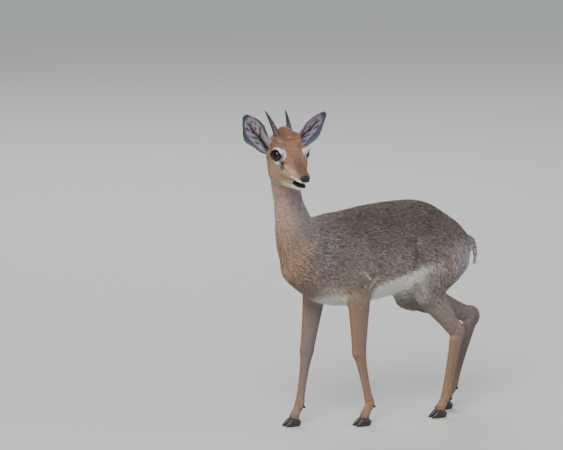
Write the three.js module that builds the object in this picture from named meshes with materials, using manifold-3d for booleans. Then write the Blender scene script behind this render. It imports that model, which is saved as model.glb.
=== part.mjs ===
// A life-size dik-dik buck, standing in mid-stride and looking out over its left side.
// Millimetres, +Z up. While the body is laid out, x = 0 is at the shoulder, the buck walks towards -X,
// its left side faces -Y and the ground is z = 0. The finished group is centred over its own footprint.
import * as THREE from "three";
import { LoftGeometry } from "three/addons/geometries/LoftGeometry.js";
import { mergeVertices } from "three/addons/utils/BufferGeometryUtils.js";
import Module from "manifold-3d";

const wasm = await Module();
wasm.setup();

// Driving dimensions
const GAP = 0.3; // left between pieces that touch
const SIDES = { left: -1, right: 1 };
const WITHERS = 381;
const RUMP = 390;
const CHEST = -69; // foremost point of the breast
const BUTTOCK = 306; // hindmost point of the rump
const HEAD_PITCH = THREE.MathUtils.degToRad(19); // how far the line of the skull dips below level
const HEAD_ROLL = THREE.MathUtils.degToRad(2.5); // how far the left ear drops below the right
const HEAD_ORIGIN = new THREE.Vector3(-80, 0, 494); // inside the skull, between the ears
const EYE = { forward: 46.5, up: 16.8, side: 24.2, radius: 11.4, opening: 9.2 };
const EYE_LOOK = { forward: 0.5, up: 0.1, side: 0.86 }; // the way the left eye faces
const HORN = { foot: [17, 32, 12], point: [-31, 61.6, 20], base: 5.9, tip: 0.8, rings: 7 };
const EAR = { root: [17, 15.7, 28], tip: [3.3, 72.4, 80.7], thickness: 2.4 };
const TAIL_LENGTH = 52;
const HOOF = { length: 27, width: 9.6, height: 15.5, spread: 5.6 };

// Looks of each finish
const FINISH = {
  grizzled: new THREE.MeshStandardMaterial({ name: "grizzled_coat", color: 0x8a7668, roughness: 0.95 }),
  tawny: new THREE.MeshStandardMaterial({ name: "tawny_coat", color: 0xa27c5e, roughness: 0.95 }),
  ear: new THREE.MeshStandardMaterial({ name: "ear_skin", color: 0x7d7a80, roughness: 0.85 }),
  eye: new THREE.MeshStandardMaterial({ name: "eye", color: 0x1c110c, roughness: 0.08 }),
  horn: new THREE.MeshStandardMaterial({ name: "horn", color: 0x2b2624, roughness: 0.45 }),
  hoof: new THREE.MeshStandardMaterial({ name: "hoof", color: 0x1f1b19, roughness: 0.5 }),
};

// Smooth curves through rows of numbers

// Catmull-Rom value a share f of the way from b to c.
function catmull(f, a, b, c, d) {
  const bend = 2 * a - 5 * b + 4 * c - d;
  const twist = 3 * b - a - 3 * c + d;
  return b + 0.5 * f * (c - a + f * (bend + f * twist));
}

// The rows read as one smooth curve, `steps` new rows for each gap between two.
function smoothRows(rows, steps) {
  const last = rows.length - 1;
  const row = (k) => rows[THREE.MathUtils.clamp(k, 0, last)];
  const made = [];
  for (let k = 0; k <= last * steps; k++) {
    const i = Math.min(Math.floor(k / steps), last - 1);
    const f = k / steps - i;
    made.push(rows[0].map((_, c) => catmull(f, row(i - 1)[c], row(i)[c], row(i + 1)[c], row(i + 2)[c])));
  }
  return made;
}

// Solids

// The largest closed body of a solid, with its sealed hollows filled.
function largest(solid) {
  const bodies = solid.decompose().sort((a, b) => b.volume() - a.volume());
  return bodies[0];
}

function solidOf(geometry) {
  const bare = new THREE.BufferGeometry();
  bare.setAttribute("position", geometry.attributes.position);
  bare.setIndex(geometry.index);
  const merged = mergeVertices(bare, 1e-4);
  const triVerts = new Uint32Array(merged.index.array);
  const vertProperties = merged.attributes.position.array;
  const solid = new wasm.Manifold(new wasm.Mesh({ numProp: 3, vertProperties, triVerts }));
  if (solid.volume() > 0) return solid;
  return new wasm.Manifold(new wasm.Mesh({ numProp: 3, vertProperties, triVerts: triVerts.reverse() }));
}

function geometryOf(solid) {
  const mesh = solid.getMesh();
  const geometry = new THREE.BufferGeometry();
  geometry.setAttribute("position", new THREE.BufferAttribute(mesh.vertProperties, 3));
  geometry.setIndex(new THREE.BufferAttribute(mesh.triVerts, 1));
  geometry.computeVertexNormals();
  return geometry;
}

// The part of a solid on the side of a plane that its normal points to, less half the gap.
function beyond(solid, point, normal) {
  const n = normal.clone().normalize();
  return solid.trimByPlane(n.toArray(), n.dot(point) + GAP / 2);
}

// The part of a solid on the other side.
function before(solid, point, normal) {
  return beyond(solid, point, normal.clone().negate());
}

// A solid lofted through rings. Each row is [x, y, z, side, up, down, fullUp, fullDown]: the ring's centre,
// its half sizes, and the power of its rounding above and below (1 is an ellipse, less is squarer).
// `across` is the direction of side, and up is square to it and to the way that the rows run.
function loft(rows, across, { columns = 16, steps = 2, grow = 0, tilt = null } = {}) {
  const fine = smoothRows(rows, steps);
  const centre = fine.map((r) => new THREE.Vector3(r[0], r[1], r[2]));
  const sections = fine.map((r, i) => {
    const back = centre[Math.max(0, i - 1)];
    const on = centre[Math.min(fine.length - 1, i + 1)];
    const along = tilt ? tilt.clone() : on.clone().sub(back).normalize();
    const side = across.clone().addScaledVector(along, -across.dot(along)).normalize();
    const up = along.clone().cross(side);
    const points = [];
    for (let j = 0; j < columns; j++) {
      const angle = (2 * Math.PI * j) / columns;
      const c = Math.cos(angle);
      const s = Math.sin(angle);
      const full = s > 0 ? r[6] : r[7];
      const wide = (r[3] + grow) * Math.sign(c) * Math.abs(c) ** full;
      const tall = ((s > 0 ? r[4] : r[5]) + grow) * Math.sign(s) * Math.abs(s) ** full;
      points.push(centre[i].clone().addScaledVector(side, wide).addScaledVector(up, tall));
    }
    return points;
  });
  return solidOf(new LoftGeometry(sections, { capStart: true, capEnd: true }));
}

// Trunk: rings upright across the body, [x, top, bottom, half width, height of the widest place, rounding].
const TRUNK = [
  [CHEST, 300, 281, 8, 290, 1, 1],
  [CHEST + 4, 316, 268, 21, 291, 1, 1],
  [CHEST + 14, 337, 256, 33, 294, 1, 1],
  [-40, 356, 243, 42, 299, 1, 1],
  [-18, 371, 228, 49, 299, 1.05, 1],
  [10, WITHERS - 3, 215, 54, 294, 1.1, 1],
  [45, WITHERS, 210, 59, 290, 1.05, 0.95],
  [85, WITHERS + 5, 213, 65, 288, 1, 0.95],
  [125, RUMP - 1, 218, 69, 290, 1, 0.95],
  [160, RUMP, 226, 67, 297, 1, 0.95],
  [190, RUMP - 1, 237, 63, 303, 1, 0.95],
  [218, RUMP - 8, 249, 58, 307, 1, 1],
  [245, RUMP - 24, 259, 52, 307, 1, 1],
  [270, RUMP - 43, 267, 44, 305, 1, 1],
  [290, RUMP - 63, 276, 32, 301, 1, 1],
  [BUTTOCK - 3, RUMP - 82, 285, 17, 296, 1, 1],
  [BUTTOCK, RUMP - 90, 290, 6, 295, 1, 1],
];

function trunk(grow = 0) {
  const rows = TRUNK.map(([x, top, bottom, wide, middle, fullUp, fullDown]) => [
    x, 0, middle, wide, top - middle, middle - bottom, fullUp, fullDown,
  ]);
  return loft(rows, new THREE.Vector3(0, 1, 0), { columns: 22, grow, tilt: new THREE.Vector3(1, 0, 0) });
}

// Neck: [x, y, z, half width, throat, nape] from inside the chest up into the head.
const NECK = [
  [-13, 0, 288, 42, 50, 50],
  [-31, 0, 322, 38, 47, 46],
  [-43, 0, 352, 33, 40, 39],
  [-51, 0, 380, 28, 32.5, 32],
  [-57, 0, 405, 25, 28.5, 28],
  [-63, 0, 430, 24, 26, 27],
  [-70, 0, 455, 23, 22.5, 26],
  [-76, -2, 478, 21, 20, 25],
  [-80, -4, 494, 17, 16, 19],
];

function neck() {
  return loft(NECK.map((r) => [...r, 1, 1]), new THREE.Vector3(0, 1, 0), { columns: 20 });
}

// Head: its own axes are forward along the skull, up, and side towards the buck's left.
const FORWARD = new THREE.Vector3(0, -Math.cos(HEAD_PITCH), -Math.sin(HEAD_PITCH));
const UP = new THREE.Vector3(0, -Math.sin(HEAD_PITCH), Math.cos(HEAD_PITCH)).applyAxisAngle(FORWARD, -HEAD_ROLL);
const ACROSS = new THREE.Vector3(1, 0, 0).applyAxisAngle(FORWARD, -HEAD_ROLL);

function headPoint(forward, up, side = 0) {
  return HEAD_ORIGIN.clone().addScaledVector(FORWARD, forward).addScaledVector(UP, up).addScaledVector(ACROSS, side);
}

// [forward, top, bottom, half width, height of the widest place, rounding above, rounding below]
const SKULL = [
  [-19, 16, -4, 7, 6, 1, 1],
  [-16, 24, -14, 13, 6, 1, 1],
  [-8, 32, -26, 18.5, 6, 1, 1],
  [2, 36, -37, 22.5, 7, 0.9, 1],
  [14, 38, -44, 27, 9, 0.7, 0.9],
  [27, 38, -47.5, 30, 10, 0.62, 0.8],
  [39, 37, -45.5, 31.5, 12, 0.6, 0.85],
  [50, 33, -42, 30.5, 11, 0.62, 0.95],
  [60, 28, -38, 28.5, 9, 0.7, 1],
  [70, 23.5, -31, 25.5, 5, 0.8, 1],
  [80, 19.5, -20, 20.5, 2, 0.85, 0.9],
  [90, 15.5, -10.5, 16.8, 0, 0.9, 0.7],
  [99, 12, -8, 14, -1, 0.9, 0.6],
  [106, 9.5, -7, 12, -1.5, 0.9, 0.6],
  [111, 7.2, -6.2, 9.6, -1.5, 0.95, 0.7],
  [114.5, 3.6, -3.6, 5.2, -0.5, 1, 1],
];
const JAW = [
  [50, -14, -40, 17, -26, 1, 0.9],
  [62, -13, -38.2, 16.5, -25, 0.9, 1],
  [75, -12, -34.8, 14.6, -21, 0.7, 1],
  [86, -11, -31, 12.8, -18.5, 0.6, 1],
  [94, -11.6, -28.5, 11.2, -18, 0.6, 1],
  [100.5, -12.2, -25.6, 9.6, -17.5, 0.6, 1],
  [106, -12.8, -22.6, 7.6, -17, 0.7, 1],
  [110, -14, -19, 4.4, -16.5, 1, 1],
];

function headLoft(table, columns, grow) {
  const rows = table.map(([forward, top, bottom, wide, middle, fullUp, fullDown]) => [
    ...headPoint(forward, middle), wide, top - middle, middle - bottom, fullUp, fullDown,
  ]);
  return loft(rows, ACROSS, { columns, grow, tilt: FORWARD });
}

function skull(grow = 0) {
  const brows = [-1, 1].map((sign) => pebble(EYE.forward - 0.5, EYE.up + 0.5, sign * (EYE.side - 1.5), [16, 15.5, 12.5]));
  const whole = headLoft(SKULL, 22, grow).add(headLoft(JAW, 12, grow));
  return grow ? whole : whole.add(brows[0]).add(brows[1]);
}

function eyeball(sign, grow = 0) {
  const ball = new THREE.SphereGeometry(EYE.radius + grow, 14, 9);
  ball.translate(...headPoint(EYE.forward, EYE.up, sign * EYE.side));
  return solidOf(ball);
}

// The direction that the eye on one side looks in, and the middle of its opening.
function gaze(sign) {
  const look = FORWARD.clone().multiplyScalar(EYE_LOOK.forward).addScaledVector(UP, EYE_LOOK.up);
  look.addScaledVector(ACROSS, sign * EYE_LOOK.side).normalize();
  const depth = Math.sqrt(EYE.radius ** 2 - EYE.opening ** 2);
  const middle = headPoint(EYE.forward, EYE.up, sign * EYE.side).addScaledVector(look, depth);
  return { look, middle };
}

// Lids: a raised almond ring round the front of the eye.
function lids(sign) {
  const ring = new THREE.TorusGeometry(EYE.opening, 2, 5, 18);
  const { look, middle } = gaze(sign);
  const long = FORWARD.clone().addScaledVector(UP, 0.25);
  long.addScaledVector(look, -long.dot(look)).normalize();
  ring.scale(1.05, 0.97, 1);
  ring.applyMatrix4(new THREE.Matrix4().makeBasis(long, look.clone().cross(long), look));
  ring.translate(...middle);
  return solidOf(ring);
}

// The flesh that is hollowed away in front of the opening, so that the eye looks out over the cheek.
function socket(sign) {
  const OUT = 12;
  const { look, middle } = gaze(sign);
  const ball = new THREE.SphereGeometry(Math.hypot(OUT, EYE.opening + 0.4), 16, 10);
  ball.translate(...middle.clone().addScaledVector(look, OUT));
  return solidOf(ball);
}

// A small smooth lump or pit on the head: an ellipsoid with its half sizes forward, up and to the side.
function pebble(forward, up, side, [long, tall, wide], dip = 0) {
  const ball = new THREE.SphereGeometry(1, 10, 8);
  ball.scale(long, tall, wide);
  ball.rotateZ(dip);
  ball.applyMatrix4(new THREE.Matrix4().makeBasis(FORWARD, UP, ACROSS));
  ball.translate(...headPoint(forward, up, side));
  return solidOf(ball);
}

// The line of the mouth: a thin wedge cut in from the front, between the lips, to the corners.
function mouth() {
  const MOUTH = { corner: 90, rise: -9.4, open: 4.6, drop: -10.6, reach: 125 };
  const outline = new THREE.Shape();
  outline.moveTo(MOUTH.corner, MOUTH.rise + 0.7);
  outline.lineTo(MOUTH.reach, MOUTH.drop + MOUTH.open / 2);
  outline.lineTo(MOUTH.reach, MOUTH.drop - MOUTH.open / 2);
  outline.lineTo(MOUTH.corner, MOUTH.rise - 0.7);
  const wedge = new THREE.ExtrudeGeometry(outline, { depth: 60, bevelEnabled: false });
  wedge.translate(0, 0, -30);
  wedge.applyMatrix4(new THREE.Matrix4().makeBasis(FORWARD, UP, ACROSS));
  wedge.translate(...HEAD_ORIGIN);
  return solidOf(wedge);
}

// A flat tapered lock of hair from its root along `way`, bending towards `fall` at the tip.
function lock(root, way, fall, length, width, thick) {
  const rows = [0, 0.35, 0.7, 1].map((f) => {
    const at = root.clone().addScaledVector(way, length * f).addScaledVector(fall, 0.35 * length * f * f);
    const taper = 1 - 0.8 * f ** 2;
    return [...at, width * taper, thick * taper, thick * taper, 1, 1];
  });
  return loft(rows, ACROSS, { columns: 5, steps: 1 });
}

// The crest: a low mop of hair on the crown with locks standing out of it, between and before the horns.
// Each lock is [forward, side, length].
const CREST = [
  [33, -8, 6], [34, 4, 7], [31, 15, 6],
  [25, -8, 8], [26, 2, 9.5], [25, 11, 9.5], [23, 19, 7],
  [16, -6, 9], [17, 3, 11], [15, 12, 10],
  [8, -3, 10], [8, 6, 10],
];
const MOP = [
  [20, 36, 2, [19, 15, 11]],
  [25, 34, 14, [17, 12, 14]],
  [27, 34, -13, [13, 6, 10]],
];

function crest() {
  const mops = MOP.map(([forward, up, side, sizes]) => pebble(forward, up, side, sizes));
  const locks = CREST.map(([forward, side, length]) => {
    const root = headPoint(forward, 46 - 0.03 * (side - 3) ** 2 - 0.02 * (forward - 19) ** 2, side);
    const way = UP.clone().addScaledVector(FORWARD, -0.25 - 0.012 * (34 - forward)).addScaledVector(ACROSS, side * 0.015);
    return lock(root, way.normalize(), FORWARD.clone().negate(), length, 5.6, 2.6);
  });
  return [...mops, ...locks];
}

// Horns: ringed spikes that slant back and a little apart.
function horn(sign, grow = 0) {
  const [foot, point] = [HORN.foot, HORN.point].map(([forward, up, side]) => headPoint(forward, up, sign * side));
  const rows = [];
  const COUNT = 22;
  for (let k = 0; k <= COUNT; k++) {
    const f = k / COUNT;
    const ringed = THREE.MathUtils.smoothstep(0.72 - f, 0, 0.15);
    const ridge = 0.38 * ringed * Math.cos(2 * Math.PI * HORN.rings * (f / 0.72));
    const r = THREE.MathUtils.lerp(HORN.base, HORN.tip, f ** 1.15) + ridge * (1 - 0.6 * f);
    const at = foot.clone().lerp(point, f).addScaledVector(UP, 2.5 * Math.sin(Math.PI * f));
    rows.push([...at, r, r * 1.08, r * 1.08, 1, 1]);
  }
  return loft(rows, ACROSS, { columns: 9, steps: 1, grow });
}

// Ears: a cupped leaf, closed at its root, with its mouth towards the face. Rows are [share of the length,
// reach to the outer edge, reach to the inner edge, depth of the cup, share of the hollow that is open].
const EAR_ROWS = [
  [-0.16, 8, 7, 9, 0],
  [-0.04, 11.5, 8.5, 9.5, 0],
  [0.06, 13.5, 10, 10.5, 0.1],
  [0.16, 15, 11.8, 11, 0.6],
  [0.28, 18.5, 14, 11, 0.95],
  [0.4, 23.5, 16.6, 10, 1],
  [0.5, 25, 17.8, 9, 1],
  [0.62, 22, 17.2, 7.5, 1],
  [0.75, 16.5, 14.4, 5.8, 1],
  [0.86, 11, 10.8, 4.2, 1],
  [0.94, 6.8, 7.2, 3, 1],
  [0.985, 3.2, 3.6, 1.8, 1],
  [1, 1, 1.2, 1, 0.9],
];

function ear(sign) {
  const ARC = 8; // gaps between the points along each wall of the cup
  const [root, tip] = [EAR.root, EAR.tip].map(([forward, up, side]) => headPoint(forward, up, sign * side));
  const reach = tip.distanceTo(root);
  const along = tip.clone().sub(root).normalize();
  const open = FORWARD.clone().addScaledVector(ACROSS, sign * 0.25).addScaledVector(UP, 0.2);
  open.addScaledVector(along, -open.dot(along)).normalize();
  const edge = along.clone().cross(open).multiplyScalar(sign); // towards the ear's outer, lower edge
  const sections = EAR_ROWS.map(([f, outer, inner, cup, hollow]) => {
    const wide = (outer + inner) / 2;
    const at = root.clone().addScaledVector(along, f * reach).addScaledVector(edge, (outer - inner) / 2);
    const wall = Math.min(EAR.thickness, cup * 0.8);
    const points = [];
    for (let j = 0; j <= ARC; j++) {
      const turn = (Math.PI * j) / ARC;
      const over = at.clone().addScaledVector(edge, wide * Math.cos(turn));
      points.push(over.addScaledVector(open, -cup * Math.sin(turn)));
    }
    for (let j = ARC - 1; j > 0; j--) {
      const turn = (Math.PI * j) / ARC;
      const flat = 0.12 * cup * Math.sin(turn);
      const deep = -(cup - wall) * Math.sin(turn) ** 0.8;
      const over = at.clone().addScaledVector(edge, (wide - wall * 0.55) * Math.cos(turn));
      points.push(over.addScaledVector(open, THREE.MathUtils.lerp(flat, deep, hollow)));
    }
    return sign > 0 ? points : points.reverse();
  });
  return solidOf(new LoftGeometry(sections, { capStart: true, capEnd: true }));
}

// Legs: the joints of each as it stands, [x, distance from the middle, z].
const FORELEG_JOINTS = {
  left: [[38, 37, 305], [60, 41, 250], [66, 32, 131], [89, 28, 38], [79, 27.5, 15]],
  right: [[14, 37, 305], [20, 41, 250], [-3, 32, 130], [-20, 28, 37], [-31, 27.5, 15]],
};
const HINDLEG_JOINTS = {
  left: [[178, 42, 246], [262, 33, 150], [242, 30, 37], [230, 29.5, 15]],
  right: [[194, 42, 213], [325, 27, 164], [287, 27, 41], [275, 28, 16]],
};
// Each row is [bone, share of its length, half width, half size in front, half size behind].
const FORELEG_ROWS = [
  [0, -0.5, 6, 16, 14],
  [0, -0.25, 12, 32, 28],
  [0, 0.1, 18, 40, 34],
  [0, 0.5, 20, 36, 31],
  [1, 0, 19.5, 28, 26],
  [1, 0.17, 17.5, 21.5, 20],
  [1, 0.34, 14.4, 16.5, 16],
  [1, 0.52, 11.8, 12.8, 12.8],
  [1, 0.75, 10, 11, 11],
  [1, 0.92, 9, 10, 9.6],
  [2, 0.01, 9.2, 10, 9.6],
  [2, 0.14, 7.4, 7.6, 8.2],
  [2, 0.34, 6.1, 6, 6.6],
  [2, 0.65, 5.6, 5.4, 6],
  [2, 0.86, 6.2, 6, 6.8],
  [3, 0, 7.8, 7.4, 8.8],
  [3, 0.45, 7.6, 6.4, 7.2],
  [3, 0.95, 9, 8, 8],
  [3, 1.25, 7, 6, 6],
];
const SHANK_ROWS = [
  [0, -0.15, 4, 7, 8],
  [0, -0.08, 10, 16, 20],
  [0, 0.05, 15, 22.5, 28],
  [0, 0.28, 15.5, 22, 25],
  [0, 0.48, 13.2, 17, 20],
  [0, 0.7, 10, 12, 13.4],
  [0, 0.88, 8.6, 11.4, 12.4],
  [1, 0.0, 8.8, 12.6, 14.6],
  [1, 0.12, 8.2, 9.4, 11.4],
  [1, 0.3, 7.4, 8.6, 9.8],
  [1, 0.55, 6.8, 8.4, 8.8],
  [1, 0.8, 6.8, 7.8, 8.2],
  [2, 0, 8.2, 8.6, 9.8],
  [2, 0.45, 7.8, 7.2, 7.8],
  [2, 0.95, 9.2, 8.2, 8.2],
  [2, 1.25, 7.2, 6.2, 6.2],
];

function jointsOf(list, sign) {
  return list.map(([x, y, z]) => new THREE.Vector3(x, sign * y, z));
}

function limb(joints, rows, grow = 0) {
  const table = rows.map(([bone, share, wide, front, back]) => {
    const at = joints[bone].clone().lerp(joints[bone + 1], share);
    return [...at, wide, front, back, 1, 1];
  });
  return loft(table, new THREE.Vector3(0, -1, 0), { columns: 12, grow });
}

// Thigh: a deep flat mass from the croup down to the knee, [share, from the middle, half width, front, back].
const THIGH_ROWS = [
  [0, 18, 13, 30, 28],
  [0.14, 27, 21, 48, 50],
  [0.36, 34, 26, 60, 65],
  [0.56, 38.5, 25, 59, 61],
  [0.74, 41.5, 21, 50, 43],
  [0.87, 42.5, 17, 37, 26],
  [0.96, 43, 11, 24, 17],
  [1, 43, 5, 9, 8],
];

function thigh(knee, sign, grow = 0) {
  const croup = new THREE.Vector3(241, 0, 354);
  const below = new THREE.Vector3(knee.x + 18, 0, knee.z - 34);
  const rows = THIGH_ROWS.map(([share, out, wide, front, back]) => {
    const at = croup.clone().lerp(below, share);
    return [at.x, sign * out, at.z, wide, front, back, 1, 1];
  });
  return loft(rows, new THREE.Vector3(0, -1, 0), { columns: 16, grow });
}

// Hooves: two pointed claws a foot, flat underneath. Rows are [share of the length, half width, height].
const CLAW_ROWS = [
  [0, 0.3, 0.5],
  [0.08, 0.42, 0.74],
  [0.28, 0.5, 1],
  [0.5, 0.49, 0.92],
  [0.72, 0.4, 0.62],
  [0.9, 0.24, 0.34],
  [1, 0.1, 0.2],
];

function claw(heel, out, turn) {
  const way = new THREE.Vector3(-Math.cos(turn), out * Math.sin(turn), 0);
  const rows = CLAW_ROWS.map(([share, half, high]) => {
    const at = heel.clone().addScaledVector(way, share * HOOF.length);
    const tall = high * HOOF.height;
    return [at.x, at.y, tall * 0.3, half * HOOF.width, tall * 0.7, tall * 0.6, 1, 0.8];
  });
  const whole = loft(rows, new THREE.Vector3(0, -1, 0), { columns: 8, steps: 1 });
  return whole.trimByPlane([0, 0, 1], 0);
}

// Dewclaws: two small blunt spurs behind the fetlock.
function dewclaws(fetlock, sign) {
  return [-1, 1].map((out) => {
    const root = fetlock.clone().add(new THREE.Vector3(2, out * 4, 0));
    const point = fetlock.clone().add(new THREE.Vector3(9, out * 5.2 + sign * 0.2, -6.5));
    const rows = [0, 0.6, 1].map((f) => [...root.clone().lerp(point, f), 3 - 1.2 * f, 3 - 1.2 * f, 3 - 1.2 * f, 1, 1]);
    return loft(rows, new THREE.Vector3(0, 1, 0), { columns: 6, steps: 1 });
  });
}

// Tail: short, hanging close to the rump.
function tail() {
  const TAIL = [
    [0, 8, 9], [0.25, 9.5, 8.5], [0.5, 9, 7.5], [0.75, 7.5, 6.5], [0.92, 5, 4.5], [1, 1.8, 1.8],
  ];
  const path = new THREE.QuadraticBezierCurve3(
    new THREE.Vector3(BUTTOCK - 14, 0, 313),
    new THREE.Vector3(BUTTOCK + 11, 0, 314),
    new THREE.Vector3(BUTTOCK + 9, 0, 318 - TAIL_LENGTH),
  );
  const rows = TAIL.map(([f, wide, deep]) => [...path.getPoint(f), wide, deep, deep, 1, 1]);
  return loft(rows, new THREE.Vector3(0, -1, 0), { columns: 10 });
}

// Assembly: whole bodies are joined first and parted with thin cuts.
const group = new THREE.Group();

function place(name, solid, material, tolerance = 0.1) {
  const mesh = new THREE.Mesh(geometryOf(largest(solid.simplify(tolerance))), material);
  mesh.name = name;
  group.add(mesh);
}

const WITHERS_CUT = { point: new THREE.Vector3(-45, 0, 345), normal: new THREE.Vector3(-0.76, 0, 0.65) };
const THROAT_CUT = { point: new THREE.Vector3(-75, -18, 432), normal: new THREE.Vector3(0, -0.75, 0.66) };
const ELBOW_CUT = { point: new THREE.Vector3(40, 0, 258), normal: new THREE.Vector3(0.12, 0, 1) };
const GROIN_CUT = { point: new THREE.Vector3(225, 0, 286), normal: new THREE.Vector3(-0.3, 0, 1) };

const trunkWhole = trunk();
const trunkGrown = trunk(GAP);
const neckWhole = neck();
const skullWhole = skull();
const skullGrown = skull(GAP);
let torso = trunkWhole;
let rumpGrown = trunkGrown;

for (const [sideName, sign] of Object.entries(SIDES)) {
  // Foreleg, parted at the elbow, the knee joint and the fetlock.
  const fore = jointsOf(FORELEG_JOINTS[sideName], sign);
  const foreLimb = limb(fore, FORELEG_ROWS);
  torso = torso.add(beyond(foreLimb, ELBOW_CUT.point, ELBOW_CUT.normal));
  const free = before(foreLimb, ELBOW_CUT.point, ELBOW_CUT.normal).subtract(trunkGrown);
  const kneeAxis = fore[1].clone().sub(fore[3]).normalize();
  const fetlockAxis = fore[2].clone().sub(fore[4]).normalize();
  const fetlockCut = fore[3].clone().lerp(fore[2], 0.1);
  place(`foreleg_${sideName}_upper`, beyond(free, fore[2], kneeAxis), FINISH.tawny);
  const lower = before(free, fore[2], kneeAxis);
  place(`foreleg_${sideName}_cannon`, beyond(lower, fetlockCut, fetlockAxis), FINISH.tawny);
  const foot = dewclaws(fore[3], sign).reduce((a, b) => a.add(b), before(lower, fetlockCut, fetlockAxis));
  place(`foreleg_${sideName}_pastern`, foot, FINISH.tawny);
  addHooves(`foreleg_${sideName}`, fore[4], limb(fore, FORELEG_ROWS, GAP));

  // Hind leg, parted at the groin, above the knee, at the hock and the fetlock.
  const hind = jointsOf(HINDLEG_JOINTS[sideName], sign);
  const haunch = thigh(hind[0], sign);
  const shank = limb(hind, SHANK_ROWS);
  const whole = haunch.add(shank);
  torso = torso.add(beyond(haunch, GROIN_CUT.point, GROIN_CUT.normal));
  rumpGrown = rumpGrown.add(thigh(hind[0], sign, GAP));
  const hung = before(whole, GROIN_CUT.point, GROIN_CUT.normal).subtract(trunkGrown);
  const shankAxis = hind[0].clone().sub(hind[1]).normalize();
  const shankCut = hind[0].clone().lerp(hind[1], 0.36);
  const hockAxis = hind[0].clone().sub(hind[2]).normalize();
  const hindFetlockAxis = hind[1].clone().sub(hind[3]).normalize();
  const hindFetlockCut = hind[2].clone().lerp(hind[1], 0.08);
  place(`hindleg_${sideName}_thigh`, beyond(hung, shankCut, shankAxis), FINISH.grizzled);
  const belowKnee = before(hung, shankCut, shankAxis);
  place(`hindleg_${sideName}_shank`, beyond(belowKnee, hind[1], hockAxis), FINISH.tawny);
  const belowHock = before(belowKnee, hind[1], hockAxis);
  place(`hindleg_${sideName}_cannon`, beyond(belowHock, hindFetlockCut, hindFetlockAxis), FINISH.tawny);
  const hindFoot = dewclaws(hind[2], sign).reduce(
    (a, b) => a.add(b),
    before(belowHock, hindFetlockCut, hindFetlockAxis),
  );
  place(`hindleg_${sideName}_pastern`, hindFoot, FINISH.tawny);
  addHooves(`hindleg_${sideName}`, hind[3], limb(hind, SHANK_ROWS, GAP));

  place(`ear_${sideName}`, ear(-sign).subtract(skullGrown), FINISH.ear);
  place(`horn_${sideName}`, horn(-sign), FINISH.horn);
  place(`eye_${sideName}`, eyeball(-sign), FINISH.eye);
}

function addHooves(leg, coronet, pasternGrown) {
  for (const [clawName, out] of [["outer", 1], ["inner", -1]]) {
    const way = out * Math.sign(coronet.y);
    const heel = new THREE.Vector3(coronet.x + HOOF.length * 0.3, coronet.y + (way * HOOF.spread * 1.02) / 1.1, 0);
    place(`${leg}_claw_${clawName}`, claw(heel, way, 0.05).subtract(pasternGrown), FINISH.hoof);
  }
}

const body = torso.add(neckWhole);
place("torso", before(body, WITHERS_CUT.point, WITHERS_CUT.normal), FINISH.grizzled);
const neckFree = beyond(trunkWhole.add(neckWhole), WITHERS_CUT.point, WITHERS_CUT.normal);
place("neck", before(neckFree, THROAT_CUT.point, THROAT_CUT.normal), FINISH.grizzled);

let head = beyond(skullWhole.add(neckWhole), THROAT_CUT.point, THROAT_CUT.normal);
for (const sign of [-1, 1]) {
  head = head.subtract(socket(sign)).add(lids(sign)).add(pebble(67, 9.5, sign * 23.8, [6.5, 4.5, 3.4]));
}
for (const piece of crest()) {
  head = head.add(piece);
}
head = head.subtract(mouth());
for (const sign of [-1, 1]) {
  head = head.subtract(eyeball(sign, GAP)).subtract(horn(sign, GAP));
  head = head.subtract(pebble(111, 0.5, sign * 6.4, [5, 2.1, 2.8], 0.5));
}
place("head", head, FINISH.tawny);

place("tail", tail().subtract(rumpGrown), FINISH.grizzled);

// Centre the buck over its own footprint.
const box = new THREE.Box3().setFromObject(group);
const middle = box.getCenter(new THREE.Vector3());
for (const mesh of group.children) {
  mesh.position.set(-middle.x, -middle.y, -box.min.z);
}

export default group;
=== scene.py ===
import bpy
import numpy as np
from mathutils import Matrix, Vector


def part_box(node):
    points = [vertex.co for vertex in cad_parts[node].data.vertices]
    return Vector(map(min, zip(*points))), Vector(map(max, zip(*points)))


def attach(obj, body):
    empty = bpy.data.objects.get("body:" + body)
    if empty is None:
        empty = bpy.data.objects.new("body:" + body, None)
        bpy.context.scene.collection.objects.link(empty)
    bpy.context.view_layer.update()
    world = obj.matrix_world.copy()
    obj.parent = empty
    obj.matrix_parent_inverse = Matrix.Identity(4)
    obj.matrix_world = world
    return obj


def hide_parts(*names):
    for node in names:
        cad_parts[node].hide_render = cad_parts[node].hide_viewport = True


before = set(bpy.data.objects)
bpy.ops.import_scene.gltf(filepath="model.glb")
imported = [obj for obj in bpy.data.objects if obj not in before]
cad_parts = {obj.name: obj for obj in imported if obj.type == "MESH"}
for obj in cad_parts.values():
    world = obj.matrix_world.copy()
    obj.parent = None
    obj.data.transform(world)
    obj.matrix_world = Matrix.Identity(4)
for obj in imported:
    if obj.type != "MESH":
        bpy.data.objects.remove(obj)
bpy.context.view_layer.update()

# The hide: the buck's own skin, one closed sheet of thin leather over the flesh of trunk, neck, head, ears,
# tail and legs. It is bare at the nose, lips, lids and ear borders, and the coat is rooted in the rest.

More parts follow.
